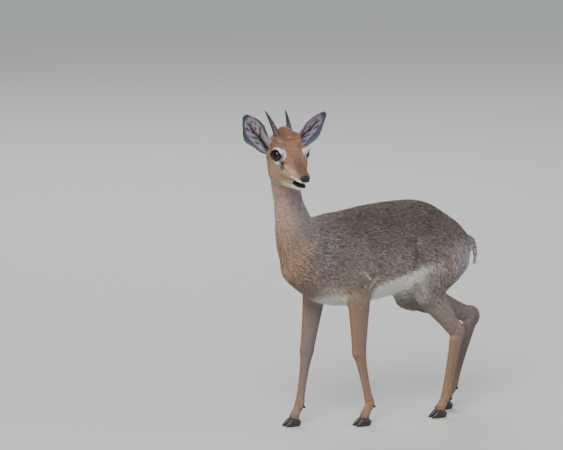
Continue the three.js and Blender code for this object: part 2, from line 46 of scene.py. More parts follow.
# Sizes are millimetres in the buck's own frame: x = 0 is at the shoulder, it walks towards -x, its left side
# faces -y and the ground is z = 0. The head has axes of its own: forward, up and to its left.
MM = 0.001
HEAD_PITCH = np.radians(19)
HEAD_ROLL = np.radians(2.5)
HEAD_ORIGIN = np.array([-80.0, 0, 494])
FORWARD = np.array([0, -np.cos(HEAD_PITCH), -np.sin(HEAD_PITCH)])
LEVEL_UP = np.array([0, -np.sin(HEAD_PITCH), np.cos(HEAD_PITCH)])
UP = LEVEL_UP * np.cos(HEAD_ROLL) + np.array([np.sin(HEAD_ROLL), 0, 0])
ACROSS = np.array([np.cos(HEAD_ROLL), 0, 0]) - LEVEL_UP * np.sin(HEAD_ROLL)
EYE = np.array([46.5, 16.8, 24.2])
EYE_RADIUS = 11.4
EYE_OPENING = 7.9
SIDES = {"left": -1, "right": 1}


def head_point(forward, up, side):
    """The point of the buck's frame at distances forward, up and to the left of the skull's middle."""
    return HEAD_ORIGIN + forward * FORWARD + up * UP + side * ACROSS


def head_axes(points):
    """Forward, up and side of points, measured on the head's own axes."""
    out = points - HEAD_ORIGIN
    return out @ FORWARD, out @ UP, out @ ACROSS


# The middle of the left eye sets the buck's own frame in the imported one.
eye_low, eye_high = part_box("eye_left")
ORIGIN = (np.array(eye_low) + np.array(eye_high)) / 2 - MM * head_point(*EYE)


def unit(vectors):
    """Vectors at length one."""
    return vectors / np.maximum(np.linalg.norm(vectors, axis=-1, keepdims=True), 1e-9)


def ease(low, high, value):
    """0 below low, 1 above high, and a smooth S between them."""
    t = np.clip((value - low) / (high - low), 0, 1)
    return t * t * (3 - 2 * t)


def fade(low, high, value):
    """1 below low, 0 above high, and a smooth S between them."""
    return 1 - ease(low, high, value)


def spot(*reach, power=2):
    """1 in the middle of a spot and less further out, as a bell. Each reach is a distance in half sizes; a
    higher power gives a flatter middle and a sharper edge."""
    return np.exp(-sum(part ** 2 for part in reach) ** (power / 2))


def smooth_rows(rows, steps):
    """Rows of numbers as points on a smooth Catmull-Rom curve, end rows repeated, with that many steps from
    each row to the next."""
    rows = np.asarray(rows, float)
    last = len(rows) - 1
    at = np.arange(last * steps + 1) / steps
    i = np.minimum(at.astype(int), last - 1)
    f = (at - i)[:, None]
    a, b, c, d = (rows[np.clip(i + k, 0, last)] for k in (-1, 0, 1, 2))
    return b + 0.5 * f * (c - a + f * (2 * a - 5 * b + 4 * c - d + f * (3 * b - a - 3 * c + d)))


def put_mesh(name, points, faces, values=None):
    """A smooth mesh object from points in the buck's frame, faces of equal size and point attributes."""
    mesh = bpy.data.meshes.new(name)
    mesh.vertices.add(len(points))
    mesh.vertices.foreach_set("co", (points * MM + ORIGIN).astype(np.float32).ravel())
    mesh.loops.add(faces.size)
    mesh.loops.foreach_set("vertex_index", faces.astype(np.int32).ravel())
    mesh.polygons.add(len(faces))
    mesh.polygons.foreach_set("loop_start", np.arange(0, faces.size, faces.shape[1], dtype=np.int32))
    mesh.update(calc_edges=True)
    mesh.polygons.foreach_set("use_smooth", np.ones(len(faces), bool))
    for key, value in (values or {}).items():
        if value.ndim == 1:
            mesh.attributes.new(key, "FLOAT", "POINT").data.foreach_set("value", value.astype(np.float32))
        else:
            rgba = np.ones((len(value), 4), np.float32)
            rgba[:, :3] = value
            mesh.attributes.new(key, "FLOAT_COLOR", "POINT").data.foreach_set("color", rgba.ravel())
    piece = bpy.data.objects.new(name, mesh)
    bpy.context.scene.collection.objects.link(piece)
    return piece


# The flesh under the hide is made part by part, each a run of rings from rows of [x, y, z, half width, half
# height up, down, rounding up, rounding down]. A ring is an ellipse where the rounding is 1.
def ring_part(rows, across, columns=40, steps=6, tilt=None):
    """Rings along a smooth run of rows. A ring's point at angle t is middle + side * width * cos(t)^full
    + up * height * sin(t)^full, with up = along x side, and the signs of cos and sin kept."""
    fine = smooth_rows(rows, steps)
    middle = fine[:, :3]
    run = np.gradient(middle, axis=0) if tilt is None else np.tile(tilt, (len(fine), 1))
    along = unit(run)
    side = unit(across - along * (along @ across)[:, None])
    up = np.cross(along, side)
    turn = np.linspace(0, 2 * np.pi, columns, endpoint=False)
    cos, sin = np.cos(turn), np.sin(turn)
    full = np.where(sin > 0, fine[:, 6:7], fine[:, 7:8])
    wide = fine[:, 3:4] * np.sign(cos) * np.abs(cos) ** full
    tall = np.where(sin > 0, fine[:, 4:5], fine[:, 5:6]) * np.sign(sin) * np.abs(sin) ** full
    rings = middle[:, None] + side[:, None] * wide[..., None] + up[:, None] * tall[..., None]
    return {"rings": rings, "middle": middle, "along": along, "side": side, "up": up,
            "wide": fine[:, 3], "high": fine[:, 4], "low": fine[:, 5]}


# Trunk rows are [x, top, bottom, half width, height of the widest place, rounding up, rounding down].
TRUNK = [
    [-69, 300, 281, 8, 290, 1, 1], [-65, 316, 268, 21, 291, 1, 1], [-55, 337, 256, 33, 294, 1, 1],
    [-40, 356, 243, 42, 299, 1, 1], [-18, 371, 228, 49, 299, 1.05, 1], [10, 378, 215, 54, 294, 1.1, 1],
    [45, 381, 210, 59, 290, 1.05, 0.95], [85, 386, 213, 65, 288, 1, 0.95], [125, 389, 218, 69, 290, 1, 0.95],
    [160, 390, 226, 67, 297, 1, 0.95], [190, 389, 237, 63, 303, 1, 0.95], [218, 382, 249, 58, 307, 1, 1],
    [245, 366, 259, 52, 307, 1, 1], [270, 347, 267, 44, 305, 1, 1], [290, 327, 276, 32, 301, 1, 1],
    [303, 308, 285, 17, 296, 1, 1], [306, 300, 290, 6, 295, 1, 1],
]
NECK = [
    [-13, 0, 288, 42, 50, 50], [-31, 0, 322, 38, 47, 46], [-43, 0, 352, 33, 40, 39],
    [-51, 0, 380, 28, 32.5, 32], [-57, 0, 405, 25, 28.5, 28], [-63, 0, 430, 24, 26, 27],
    [-70, 0, 455, 23, 22.5, 26], [-76, -2, 478, 21, 20, 25], [-80, -4, 494, 17, 16, 19],
]
SKULL = [
    [-19, 16, -4, 7, 6, 1, 1], [-16, 24, -14, 13, 6, 1, 1], [-8, 32, -26, 18.5, 6, 1, 1],
    [2, 36, -37, 22.5, 7, 0.9, 1], [14, 38, -44, 27, 9, 0.7, 0.9], [27, 38, -47.5, 30, 10, 0.62, 0.8],
    [39, 37, -45.5, 31.5, 12, 0.6, 0.85], [50, 33, -42, 30.5, 11, 0.62, 0.95],
    [60, 28, -38, 28.5, 9, 0.7, 1], [70, 23.5, -31, 25.5, 5, 0.8, 1], [80, 19.5, -20, 20.5, 2, 0.85, 0.9],
    [90, 15.5, -10.5, 16.8, 0, 0.9, 0.7], [99, 12, -8, 14, -1, 0.9, 0.6], [106, 9.5, -7, 12, -1.5, 0.9, 0.6],
    [111, 7.2, -6.2, 9.6, -1.5, 0.95, 0.7], [114.5, 3.6, -3.6, 5.2, -0.5, 1, 1],
]
JAW = [
    [50, -14, -40, 17, -26, 1, 0.9], [62, -13, -38.2, 16.5, -25, 0.9, 1],
    [75, -12, -34.8, 14.6, -21, 0.7, 1], [86, -11, -31, 12.8, -18.5, 0.6, 1],
    [94, -11.6, -28.5, 11.2, -18, 0.6, 1],
    [100.5, -12.2, -25.6, 9.6, -17.5, 0.6, 1], [106, -12.8, -22.6, 7.6, -17, 0.7, 1],
    [110, -14, -19, 4.4, -16.5, 1, 1],
]


def head_part(table):
    """Rings square to the skull's line, from rows like the trunk's on the head's own axes."""
    rows = [[*head_point(f, middle, 0), wide, top - middle, middle - bottom, full_up, full_down]
            for f, top, bottom, wide, middle, full_up, full_down in table]
    return ring_part(rows, ACROSS, 56, 6, FORWARD)


# Each leg's joints as it stands, [x, distance from the middle, z], and its rows, [bone, share of the bone,
# half width, half size in front, half size behind].
FORELEG_JOINTS = {
    "left": [[38, 37, 305], [60, 41, 250], [66, 32, 131], [89, 28, 38], [79, 27.5, 15]],
    "right": [[14, 37, 305], [20, 41, 250], [-3, 32, 130], [-20, 28, 37], [-31, 27.5, 15]],
}
HINDLEG_JOINTS = {
    "left": [[178, 42, 246], [262, 33, 150], [242, 30, 37], [230, 29.5, 15]],
    "right": [[194, 42, 213], [325, 27, 164], [287, 27, 41], [275, 28, 16]],
}
FORELEG_ROWS = [
    [0, -0.5, 6, 16, 14], [0, -0.25, 12, 32, 28], [0, 0.1, 18, 40, 34], [0, 0.5, 20, 36, 31],
    [1, 0, 20, 29, 27], [1, 0.17, 18.2, 24, 23], [1, 0.34, 16.2, 20, 20], [1, 0.52, 14, 17, 17.2],
    [1, 0.75, 12.2, 14.4, 14.6], [1, 0.92, 11.2, 13.2, 13], [2, 0.01, 11, 12.8, 12.6],
    [2, 0.14, 9.4, 10, 10.6], [2, 0.34, 7.8, 8.2, 8.8], [2, 0.65, 6.8, 7, 7.6],
    [2, 0.86, 7, 7.2, 8], [3, 0, 8.2, 8, 9.2],
    [3, 0.45, 8, 6.8, 7.6], [3, 0.95, 9.2, 8.2, 8.2], [3, 1.25, 7, 6, 6],
]
SHANK_ROWS = [
    [0, -0.15, 4, 7, 8], [0, -0.08, 10, 16, 20], [0, 0.05, 15, 22.5, 28], [0, 0.28, 15.5, 23, 30],
    [0, 0.48, 13.6, 19.5, 27], [0, 0.7, 11.2, 16.5, 19.5], [0, 0.88, 10, 15, 15.5], [1, 0, 10, 15, 16.5],
    [1, 0.12, 9.2, 12.2, 13.6], [1, 0.3, 8.4, 10.4, 11.4], [1, 0.55, 7.6, 9.4, 9.8], [1, 0.8, 7.4, 8.6, 9],
    [2, 0, 8.4, 9, 10], [2, 0.45, 7.9, 7.6, 8], [2, 0.95, 9.2, 8.4, 8.4], [2, 1.25, 7.2, 6.2, 6.2],
]
# A thigh runs from the croup to a place this far behind and below the knee. Its rows are [share of that way,
# distance from the buck's middle, half width, half size in front, half size behind].
CROUP = [241.0, 0, 354]
BEHIND_KNEE = 18
BELOW_KNEE = 34
THIGH_ROWS = [
    [0, 18, 13, 30, 28], [0.14, 27, 21, 48, 50], [0.36, 34, 26, 60, 65], [0.56, 38.5, 25, 59, 61],
    [0.74, 41.5, 21, 53, 43], [0.87, 42.5, 17, 43, 27], [0.96, 43, 11, 30, 18], [1, 43, 5, 9, 8],
]
OUTWARDS = np.array([0, -1.0, 0])


def leg_part(joints, rows, sign):
    """Rings down a leg whose bones run from joint to joint."""
    at = np.array([[x, sign * y, z] for x, y, z in joints])
    table = [[*(at[bone] + share * (at[bone + 1] - at[bone])), *sizes, 1, 1] for bone, share, *sizes in rows]
    return ring_part(table, OUTWARDS, 28, 8)


def thigh_part(knee, sign):
    """Rings down the deep flat haunch, from the croup to below the knee."""
    croup = np.array(CROUP)
    below = np.array([knee[0] + BEHIND_KNEE, 0, knee[2] - BELOW_KNEE])
    rows = []
    for share, out, *sizes in THIGH_ROWS:
        at = croup + share * (below - croup)
        rows.append([at[0], sign * out, at[2], *sizes, 1, 1])
    return ring_part(rows, OUTWARDS, 40, 8)


TAIL_LINE = [[292, 0, 313], [317, 0, 314], [315, 0, 266]]
TAIL_SIZES = [[8, 9], [9, 8.5], [9.3, 8], [9, 7.5], [8, 6.8], [6, 5.2], [2, 2]]


def tail_part():
    """Rings down the short tail on a quadratic curve: (1 - t)^2 root + 2 t (1 - t) bend + t^2 tip. Its sizes
    are [half width, half depth]."""
    share = np.linspace(0, 1, len(TAIL_SIZES))[:, None]
    root, bend, tip = np.array(TAIL_LINE, float)
    line = (1 - share) ** 2 * root + 2 * share * (1 - share) * bend + share ** 2 * tip
    rows = [[*p, wide, deep, deep, 1, 1] for p, (wide, deep) in zip(line, TAIL_SIZES)]
    return ring_part(rows, OUTWARDS, 24, 6)


# Ears: a cupped leaf of thin skin, closed at its root, with its mouth towards the face. Rows are [share of
# the length, reach to the outer edge, reach to the inner edge, depth of the cup, share of it that is open].
EAR_ROOT = [17, 15.7, 28]
EAR_TIP = [3.3, 72.4, 80.7]
EAR_WALL = 2.2
EAR_ROWS = [
    [-0.16, 9, 7, 9, 0], [-0.04, 14, 8.5, 9.5, 0], [0.06, 17.5, 10, 10.5, 0.1], [0.16, 19, 11.8, 11, 0.6],
    [0.28, 22, 14, 11, 0.95], [0.4, 25.4, 16.6, 10, 1], [0.5, 26.2, 17.8, 9, 1], [0.62, 22.6, 17.2, 7.5, 1],
    [0.75, 16.5, 14.4, 5.8, 1], [0.86, 11, 10.8, 4.2, 1], [0.94, 6.8, 7.2, 3, 1], [0.985, 3.2, 3.6, 1.8, 1],
    [1, 1, 1.2, 1, 0.9],
]


def ear_part(sign):
    """Rings of a cup: a half ellipse outside, and inside it a shallower one that the hollow row sinks."""
    root, tip = (head_point(p[0], p[1], sign * p[2]) for p in (EAR_ROOT, EAR_TIP))
    reach = np.linalg.norm(tip - root)
    along = (tip - root) / reach
    mouth = FORWARD + 0.25 * sign * ACROSS + 0.2 * UP
    mouth = unit(mouth - along * (mouth @ along))
    edge = np.cross(along, mouth) * sign
    fine = smooth_rows(EAR_ROWS, 5)
    share, outer, inner, cup, hollow = fine.T
    hollow = np.clip(hollow, 0, 1)
    wide = (outer + inner) / 2
    middle = root + along * (share * reach)[:, None] + edge * ((outer - inner) / 2)[:, None]
    wall = np.minimum(EAR_WALL, cup * 0.8)
    turn = np.linspace(0, np.pi, 25)
    back = turn[1:-1][::-1]
    flat = 0.12 * cup[:, None] * np.sin(back)
    deep = -(cup - wall)[:, None] * np.sin(back) ** 0.8
    over = np.hstack([wide[:, None] * np.cos(turn), (wide - wall * 0.55)[:, None] * np.cos(back)])
    sink = np.hstack([-cup[:, None] * np.sin(turn), flat + (deep - flat) * hollow[:, None]])
    rings = middle[:, None] + edge * over[..., None] + mouth * sink[..., None]
    count = len(share)
    same = {key: np.tile(axis, (count, 1)) for key, axis in (("along", along), ("side", edge), ("up", mouth))}
    return {**same, "rings": rings, "middle": middle - mouth * (cup / 2)[:, None], "wide": wide,
            "high": cup * 0.8, "low": cup * 0.8, "root": root, "tip": tip, "share": share}


PARTS = {
    "trunk": ring_part([[x, 0, mid, wide, top - mid, mid - bottom, a, b]
                        for x, top, bottom, wide, mid, a, b in TRUNK], np.array([0, 1.0, 0]), 64, 8,
                       np.array([1.0, 0, 0])),
    "neck": ring_part([[*row, 1, 1] for row in NECK], np.array([0, 1.0, 0]), 48, 8),
    "skull": head_part(SKULL),
    "jaw": head_part(JAW),
    "tail": tail_part(),
}
for name, sign in SIDES.items():
    PARTS[f"foreleg_{name}"] = leg_part(FORELEG_JOINTS[name], FORELEG_ROWS, sign)
    PARTS[f"thigh_{name}"] = thigh_part(HINDLEG_JOINTS[name][0], sign)
    PARTS[f"shank_{name}"] = leg_part(HINDLEG_JOINTS[name], SHANK_ROWS, sign)
    PARTS[f"ear_{name}"] = ear_part(-sign)


def web(rows, columns, gaps):
    """Two triangles in each cell between neighbouring rings, in as many gaps as are asked for. With a gap to
    every ring, the last one leads back to the first."""
    i, j = (grid.ravel() for grid in np.meshgrid(np.arange(gaps), np.arange(columns), indexing="ij"))
    k, after = (j + 1) % columns, (i + 1) % rows
    a, b, c, d = i * columns + j, i * columns + k, after * columns + k, after * columns + j
    return np.vstack([np.stack([a, b, c], 1), np.stack([a, c, d], 1)])


def shell(rings):
    """Triangles between neighbouring rings, closed at each end by a fan from the end ring's middle."""
    rows, columns = rings.shape[:2]
    points = np.vstack([rings.reshape(-1, 3), rings[0].mean(0), rings[-1].mean(0)])
    j = np.arange(columns)
    k = (j + 1) % columns
    start = np.stack([np.full(columns, rows * columns), k, j], 1)
    end = np.stack([np.full(columns, rows * columns + 1), j, k], 1) + [[0, *[(rows - 1) * columns] * 2]]
    faces = np.vstack([web(rows, columns, rows - 1), start, end])
    corner = points[faces]
    if np.einsum("ij,ij->", corner[:, 0], np.cross(corner[:, 1], corner[:, 2])) < 0:
        faces = faces[:, ::-1]
    return points, faces


def ball(middle, axes, sizes, columns=40, rows=24):
    """An ellipsoid as rings about its first axis: middle + sizes * (cos v, sin v cos t, sin v sin t)."""
    v = np.linspace(0.02, np.pi - 0.02, rows)[:, None, None]
    t = np.linspace(0, 2 * np.pi, columns, endpoint=False)[:, None]
    axes = [np.asarray(a) * s for a, s in zip(axes, sizes)]
    return middle + axes[0] * np.cos(v) + axes[1] * np.sin(v) * np.cos(t) + axes[2] * np.sin(v) * np.sin(t)


def eye_frame(sign):
    """The middle of one eye's opening, the way it looks, its long way towards the nose, and its up."""
    look = unit(0.5 * FORWARD + 0.1 * UP + sign * 0.86 * ACROSS)
    long = FORWARD + 0.25 * UP
    long = unit(long - look * (long @ look))
    middle = head_point(EYE[0], EYE[1], sign * EYE[2]) + look * np.sqrt(EYE_RADIUS ** 2 - EYE_OPENING ** 2)
    return middle, look, long, np.cross(long, look) * sign


def lid_ring(sign):
    """The lids: a tube round the opening, drawn out into a corner at its front and less so at its back."""
    middle, look, long, rise = eye_frame(sign)
    turn = np.linspace(0, 2 * np.pi, 60, endpoint=False)[:, None, None]
    bead = np.linspace(0, 2 * np.pi, 14, endpoint=False)[:, None]
    corner = 1 + 0.2 * np.maximum(np.cos(turn), 0) ** 6 + 0.06 * np.maximum(-np.cos(turn), 0) ** 6
    out = long * np.cos(turn) * corner + rise * np.sin(turn) * 0.97
    reach = EYE_OPENING + 0.5 + 1.9 * np.cos(bead)
    return middle + out * reach + look * 1.7 * np.sin(bead)


# Mounds of flesh on the skull are [forward, up, side, and the half sizes in the same three directions].
HEAD_AXES = (FORWARD, UP, ACROSS)
SOCKET = [46, 17.3, 22.7, 16, 15.5, 12.5]
GLAND_SWELLING = [67, 9.5, 22.6, 7, 4.6, 3.4]
CREST = [[18, 37, 0, 20, 15.5, 14], [25, 34, 13, 18, 12.5, 15], [25, 33.5, -13, 15, 8, 12],
         [33, 33, 1, 22, 10.5, 19]]
mounds = [[forward, up, sign * side, *half] for sign in (-1, 1)
          for forward, up, side, *half in (SOCKET, GLAND_SWELLING)] + CREST
lumps = [part["rings"] for part in PARTS.values()]
lumps += [ball(head_point(*mound[:3]), HEAD_AXES, mound[3:]) for mound in mounds]
shells = [shell(rings) for rings in lumps]
for sign in (-1, 1):
    lids = lid_ring(sign)
    rows, columns = lids.shape[:2]
    shells.append((lids.reshape(-1, 3), web(rows, columns, rows)))

# The shells are joined into one hide by a fine net. The head is blown up about a line through it before
# that and shrunk after, so that its net is finer than the body's.
NET = 2.8
HEAD_FINER = 2.5
FINER_FROM, FINER_TO = 395, 432
HEAD_LINE = np.array([-78.0, -45])
heights = np.linspace(-60, 700, 7601)
finer = 1 + (HEAD_FINER - 1) * ease(FINER_FROM, FINER_TO, heights)
blown = np.concatenate([[0], np.cumsum((finer[1:] + finer[:-1]) / 2 * np.diff(heights))]) + heights[0]


def blow_up(points):
    """Height h becomes the sum of the scale up to h, and distances from the head's line grow by the scale."""
    scale = np.interp(points[:, 2], heights, finer)[:, None]
    flat = HEAD_LINE + (points[:, :2] - HEAD_LINE) * scale
    return np.column_stack([flat, np.interp(points[:, 2], heights, blown)])


def shrink_back(points):
    """The way back from blow_up."""
    height = np.interp(points[:, 2], blown, heights)
    scale = np.interp(height, heights, finer)[:, None]
    return np.column_stack([HEAD_LINE + (points[:, :2] - HEAD_LINE) / scale, height])


starts = np.cumsum([0] + [len(points) for points, _ in shells[:-1]])
rough = put_mesh("rough", blow_up(np.vstack([points for points, _ in shells])),
                 np.vstack([faces + start for (_, faces), start in zip(shells, starts)]))
net = rough.modifiers.new("net", "REMESH")
net.mode = "VOXEL"
net.voxel_size = NET * MM
net.use_smooth_shade = True
joined = rough.evaluated_get(bpy.context.evaluated_depsgraph_get()).to_mesh()
skin = np.empty(len(joined.vertices) * 3, np.float32)
joined.vertices.foreach_get("co", skin)
skin = shrink_back((skin.reshape(-1, 3).astype(float) - ORIGIN) / MM)
quads = np.empty(len(joined.loops), np.int32)
joined.loops.foreach_get("vertex_index", quads)
quads = quads.reshape(-1, 4)
edges = np.empty(len(joined.edges) * 2, np.int32)
joined.edges.foreach_get("vertices", edges)
edges = edges.reshape(-1, 2)
rough.evaluated_get(bpy.context.evaluated_depsgraph_get()).to_mesh_clear()
bpy.data.objects.remove(rough)


def spread(values, share, rounds, back=0.0):
    """Moves each value by a share towards the mean of its neighbours on the net, again and again; a second
    move the other way keeps volume."""
    a, b = edges.T
    count = len(values)
    ends = np.maximum(np.bincount(a, minlength=count) + np.bincount(b, minlength=count), 1)[:, None]
    for _ in range(rounds):
        for step in ((share, -back) if back else (share,)):
            total = np.stack([np.bincount(a, values[b, k], count) + np.bincount(b, values[a, k], count)
                              for k in range(values.shape[1])], 1)
            values = values + step * (total / ends - values)
    return values


def normals_of(points):
    """At each point, the mean of its faces' outward directions, weighed by their areas."""
    corner = points[quads]
    face = np.cross(corner[:, 2] - corner[:, 0], corner[:, 3] - corner[:, 1])
    total = np.stack([sum(np.bincount(quads[:, c], face[:, k], len(points)) for c in range(4))
                      for k in range(3)], 1)
    return unit(total)


def survey(points):
    """For each part: how far each point is from its middle line, in half widths there, and where on it the
    nearest place is, with the angle round it."""
    far, place, turn = [], [], []
    for part in PARTS.values():
        out = [points @ part[axis].T - (part["middle"] * part[axis]).sum(1)
               for axis in ("side", "up", "along")]
        tall = np.where(out[1] > 0, part["high"], part["low"])
        length = 0.5 * (part["wide"] + np.minimum(part["high"], part["low"]))
        share = np.sqrt((out[0] / part["wide"]) ** 2 + (out[1] / tall) ** 2 + (out[2] / length) ** 2)
        best = share.argmin(1)
        row = np.arange(len(points))
        far.append(share[row, best])
        place.append(best)
        turn.append(np.arctan2(out[1][row, best] / tall[row, best], out[0][row, best] / part["wide"][best]))
    return np.array(far), np.array(place), np.array(turn)


NAMES = list(PARTS)


def of_kind(weights, *kinds):
    """The summed weight of the parts whose names start with one of these words."""
    return sum(weights[i] for i, name in enumerate(NAMES) if name.startswith(kinds))


def belonging(far, sharpness):
    """How much each point belongs to each part: more to a nearer one, as exp(-sharpness * far), 1 in all."""
    near = np.exp(-sharpness * far)
    return near / near.sum(0)


# The net's steps are smoothed away, and the body is smoothed further, so that its flesh runs together.
far, place, turn = survey(skin)
weights = belonging(far, 7)
body_share = of_kind(weights, "trunk", "thigh", "neck") + 0.7 * of_kind(weights, "foreleg", "shank")
soft = (body_share * ease(185, 235, skin[:, 2]) * fade(395, 440, skin[:, 2]))[:, None]
skin = spread(skin, share=0.5, rounds=14, back=0.53)
skin = spread(skin, share=0.55 * soft, rounds=26)

# Forms of the hide along lines: [from, to, half width, height], where a height below 0 is a depth. The
# creases are those before the thigh and behind the elbow, which are also darkened as painted shade.
CREASES = [
    [(167, -64, 330), (151, -58, 262), 5, -3.6], [(167, 64, 330), (151, 58, 262), 5, -3.6],
    [(151, -57, 262), (144, -50, 232), 4.5, -2.6], [(151, 57, 262), (144, 50, 232), 4.5, -2.6],
    [(66, -62, 283), (81, -61, 266), 4.5, -3.0], [(81, -61, 266), (70, -55, 248), 4.5, -3.0],
    [(44, 62, 283), (59, 61, 266), 4.5, -3.0], [(59, 61, 266), (48, 55, 248), 4.5, -3.0],
]
HOLLOWS = [
    [(-44, 0, 320), (-66, 0, 292), 10, -1.6],
    [(5, -52, 330), (-22, -44, 290), 12, -2.0], [(-8, 52, 330), (-34, 40, 290), 12, -2.0],
    [(232, -62, 300), (268, -40, 250), 9, -1.6], [(240, 62, 300), (280, 40, 250), 9, -1.6],
]
SWELLS = [
    [(25, -54, 322), (2, -50, 292), 17, 2.4], [(5, 54, 322), (-18, 48, 292), 17, 2.4],
    [(56, -58, 274), (66, -58, 264), 8, 2.4], [(34, 58, 274), (44, 58, 264), 8, 2.4],
    [(-52, -14, 455), (-66, -17, 400), 8, 1.0],
]


def near_line(points, start, end, half):
    """1 on the line from start to end, falling off as a bell of that half width."""
    start, end = np.array(start, float), np.array(end, float)
    run = end - start
    share = np.clip((points - start) @ run / (run @ run), 0, 1)
    return spot(np.linalg.norm(points - start - share[:, None] * run, axis=1) / half)


normals = normals_of(skin)
push = np.zeros(len(skin))
for start, end, half, height in CREASES + HOLLOWS + SWELLS:
    push += height * near_line(skin, start, end, half)

# The head's own forms, on both sides: f, u and s are forward, up and side on its axes, and m is the distance
# from its middle. Rows are [height, f, u, m, and the half sizes of the form in those three directions].
HEAD_FORMS = [
    [-2.2, 14, -14, 28, 14, 18, 10], [0.6, 36, -20, 29, 12, 12, 9], [-1.5, 64, 16, 24, 8, 5, 7],
    [0.8, 98, -5, 13, 9, 4, 5], [-1.0, 84, 4, 19, 9, 6, 6], [0.7, 112, 5, 6, 3.5, 2.4, 3.5],
]
NOSTRIL_DEPTH = 3.2
LIP_GROOVE = 0.8
f, u, s = head_axes(skin)
m = np.abs(s)
on_head = ease(0.25, 0.6, of_kind(weights, "skull", "jaw"))


def bell(f0, u0, m0, df, du, dm):
    """1 at a place on both sides of the head, falling off as a bell of these half sizes."""
    return spot((f - f0) / df, (u - u0) / du, (m - m0) / dm)


push += on_head * sum(height * bell(*form) for height, *form in HEAD_FORMS)
nostril = bell(111.5, 0.6, 6.4, 3.2, 1.7, 2.6) + 0.7 * bell(107.5, 2.4, 9.4, 2.6, 1.3, 2)
push -= on_head * NOSTRIL_DEPTH * nostril
push -= on_head * LIP_GROOVE * spot(s / 0.9) * ease(109, 112, f) * fade(4, 6, u)
skin += normals * push[:, None]

# Flesh in front of each eye is pushed out of a ball, so that the eye looks out over the cheek.
CLEAR_AHEAD = 12
for sign in (-1, 1):
    middle, look, _, _ = eye_frame(sign)
    out = skin - (middle + look * CLEAR_AHEAD)
    reach = np.linalg.norm(out, axis=1, keepdims=True)
    size = np.hypot(CLEAR_AHEAD, EYE_OPENING + 0.2)
    skin = np.where(reach < size, skin + out / reach * (size - reach), skin)

# The hide lies this far under the outline, which is the coat's, by part and in millimetres.
DEPTH = {"trunk": 3.6, "neck": 3.0, "skull": 1.7, "jaw": 1.4, "tail": 3, "foreleg": 0.2, "thigh": 3.4,
         "shank": 0.2, "ear": 0.2}
kind_of = [name.split("_")[0] for name in NAMES]
depth = sum(weights[i] * DEPTH[kind] for i, kind in enumerate(kind_of))
near_eye = np.max([spot(np.linalg.norm(skin - eye_frame(sign)[0], axis=1) / 14, power=4)
                   for sign in (-1, 1)], 0)
snout = ease(92, 104, f) * on_head
depth = depth * (1 - 0.85 * np.maximum(near_eye, snout))
skin -= normals_of(skin) * depth[:, None]
skin[:, 2] = np.maximum(skin[:, 2], 1.0)

# The way the hair lies: from the nose back over the crown, down the neck, back along the trunk, down each
# leg and out to the tips of ears and tail. Rows are which way along the part, and what is added to it.
LIE = {"trunk": (1, (0, 0, -0.22)), "neck": (-1, (0, 0, -0.1)), "skull": (-1, (0, 0, 0.02)),
       "jaw": (-1, (0, 0, -0.3)), "tail": (1, (0, 0, 0)), "foreleg": (1, (0.2, 0, 0)),
       "thigh": (1, (0.45, 0, 0)), "shank": (1, (0.15, 0, 0)), "ear": (1, (0, 0, 0))}
far, place, turn = survey(skin)
weights = belonging(far, 9)
lie = np.zeros_like(skin)
for i, kind in enumerate(kind_of):
    way, bias = LIE[kind]
    lie += weights[i][:, None] * (way * PARTS[NAMES[i]]["along"][place[i]] + np.array(bias))
normals = normals_of(skin)
lie = spread(unit(lie), share=0.5, rounds=12)
lie = unit(lie - normals * (lie * normals).sum(1, keepdims=True))

# Colours of skin and hair, as the eye sees them, and where each one lies.
def paint(red, green, blue):
    """A colour in the light's own measure, from the 0 to 255 that a screen shows."""
    c = np.array([red, green, blue]) / 255
    return np.where(c <= 0.04045, c / 12.92, ((c + 0.055) / 1.055) ** 2.4)


BACK = paint(114, 100, 94)
FLANK = paint(150, 136, 129)
SHOULDER = paint(140, 129, 128)
NECK_SIDE = paint(172, 157, 157)
NECK_FRONT = paint(206, 177, 161)
BREAST = paint(186, 152, 124)
BELLY = paint(238, 236, 228)
LEG_EDGE = paint(172, 132, 104)
LEG_SIDE = paint(146, 122, 108)
# The legs' inner faces: greyer hair, darkened further as painted shade.
LEG_INSIDE_GREY_AND_SHADE = paint(134, 124, 122)
RUMP_PALE = paint(186, 184, 188)
FOREHEAD = paint(160, 122, 98)
BRIDGE = paint(108, 80, 66)
CHEEK = paint(206, 172, 142)
CHEEK_REAR = paint(204, 146, 98)
CROWN = paint(166, 124, 100)
WHITE = paint(242, 238, 236)
CREAM = paint(244, 236, 222)
GREY_SKIN = paint(78, 80, 92)
BLACK = paint(22, 19, 20)
NOSE = paint(36, 35, 41)
LIP = paint(50, 46, 52)
EAR_BORDER = paint(76, 83, 102)
EAR_INNER = paint(150, 141, 155)
EAR_VEIN = paint(54, 34, 28)
EAR_BACK = paint(118, 102, 94)


def mix(base, over, share):
    """Colours of base with a share of another over them."""
    return base + (over - base) * np.clip(share, 0, 1)[:, None]


def wash(colour, *layers):
    """Colours with others laid over them in turn, each given with its share."""
    for over, share in layers:
        colour = mix(colour, over, share)
    return colour


def patches(points, size, seed):
    """Soft blotches from -1 to 1: sums of sine waves of about that size, running in drawn directions."""
    waves = np.random.default_rng(seed)
    total = np.zeros(len(points))
    for _ in range(14):
        way = unit(waves.normal(size=3)) / size * waves.uniform(0.7, 1.5)
        total += np.sin(2 * np.pi * points @ way + waves.uniform(0, 2 * np.pi))
    return total / 4.6


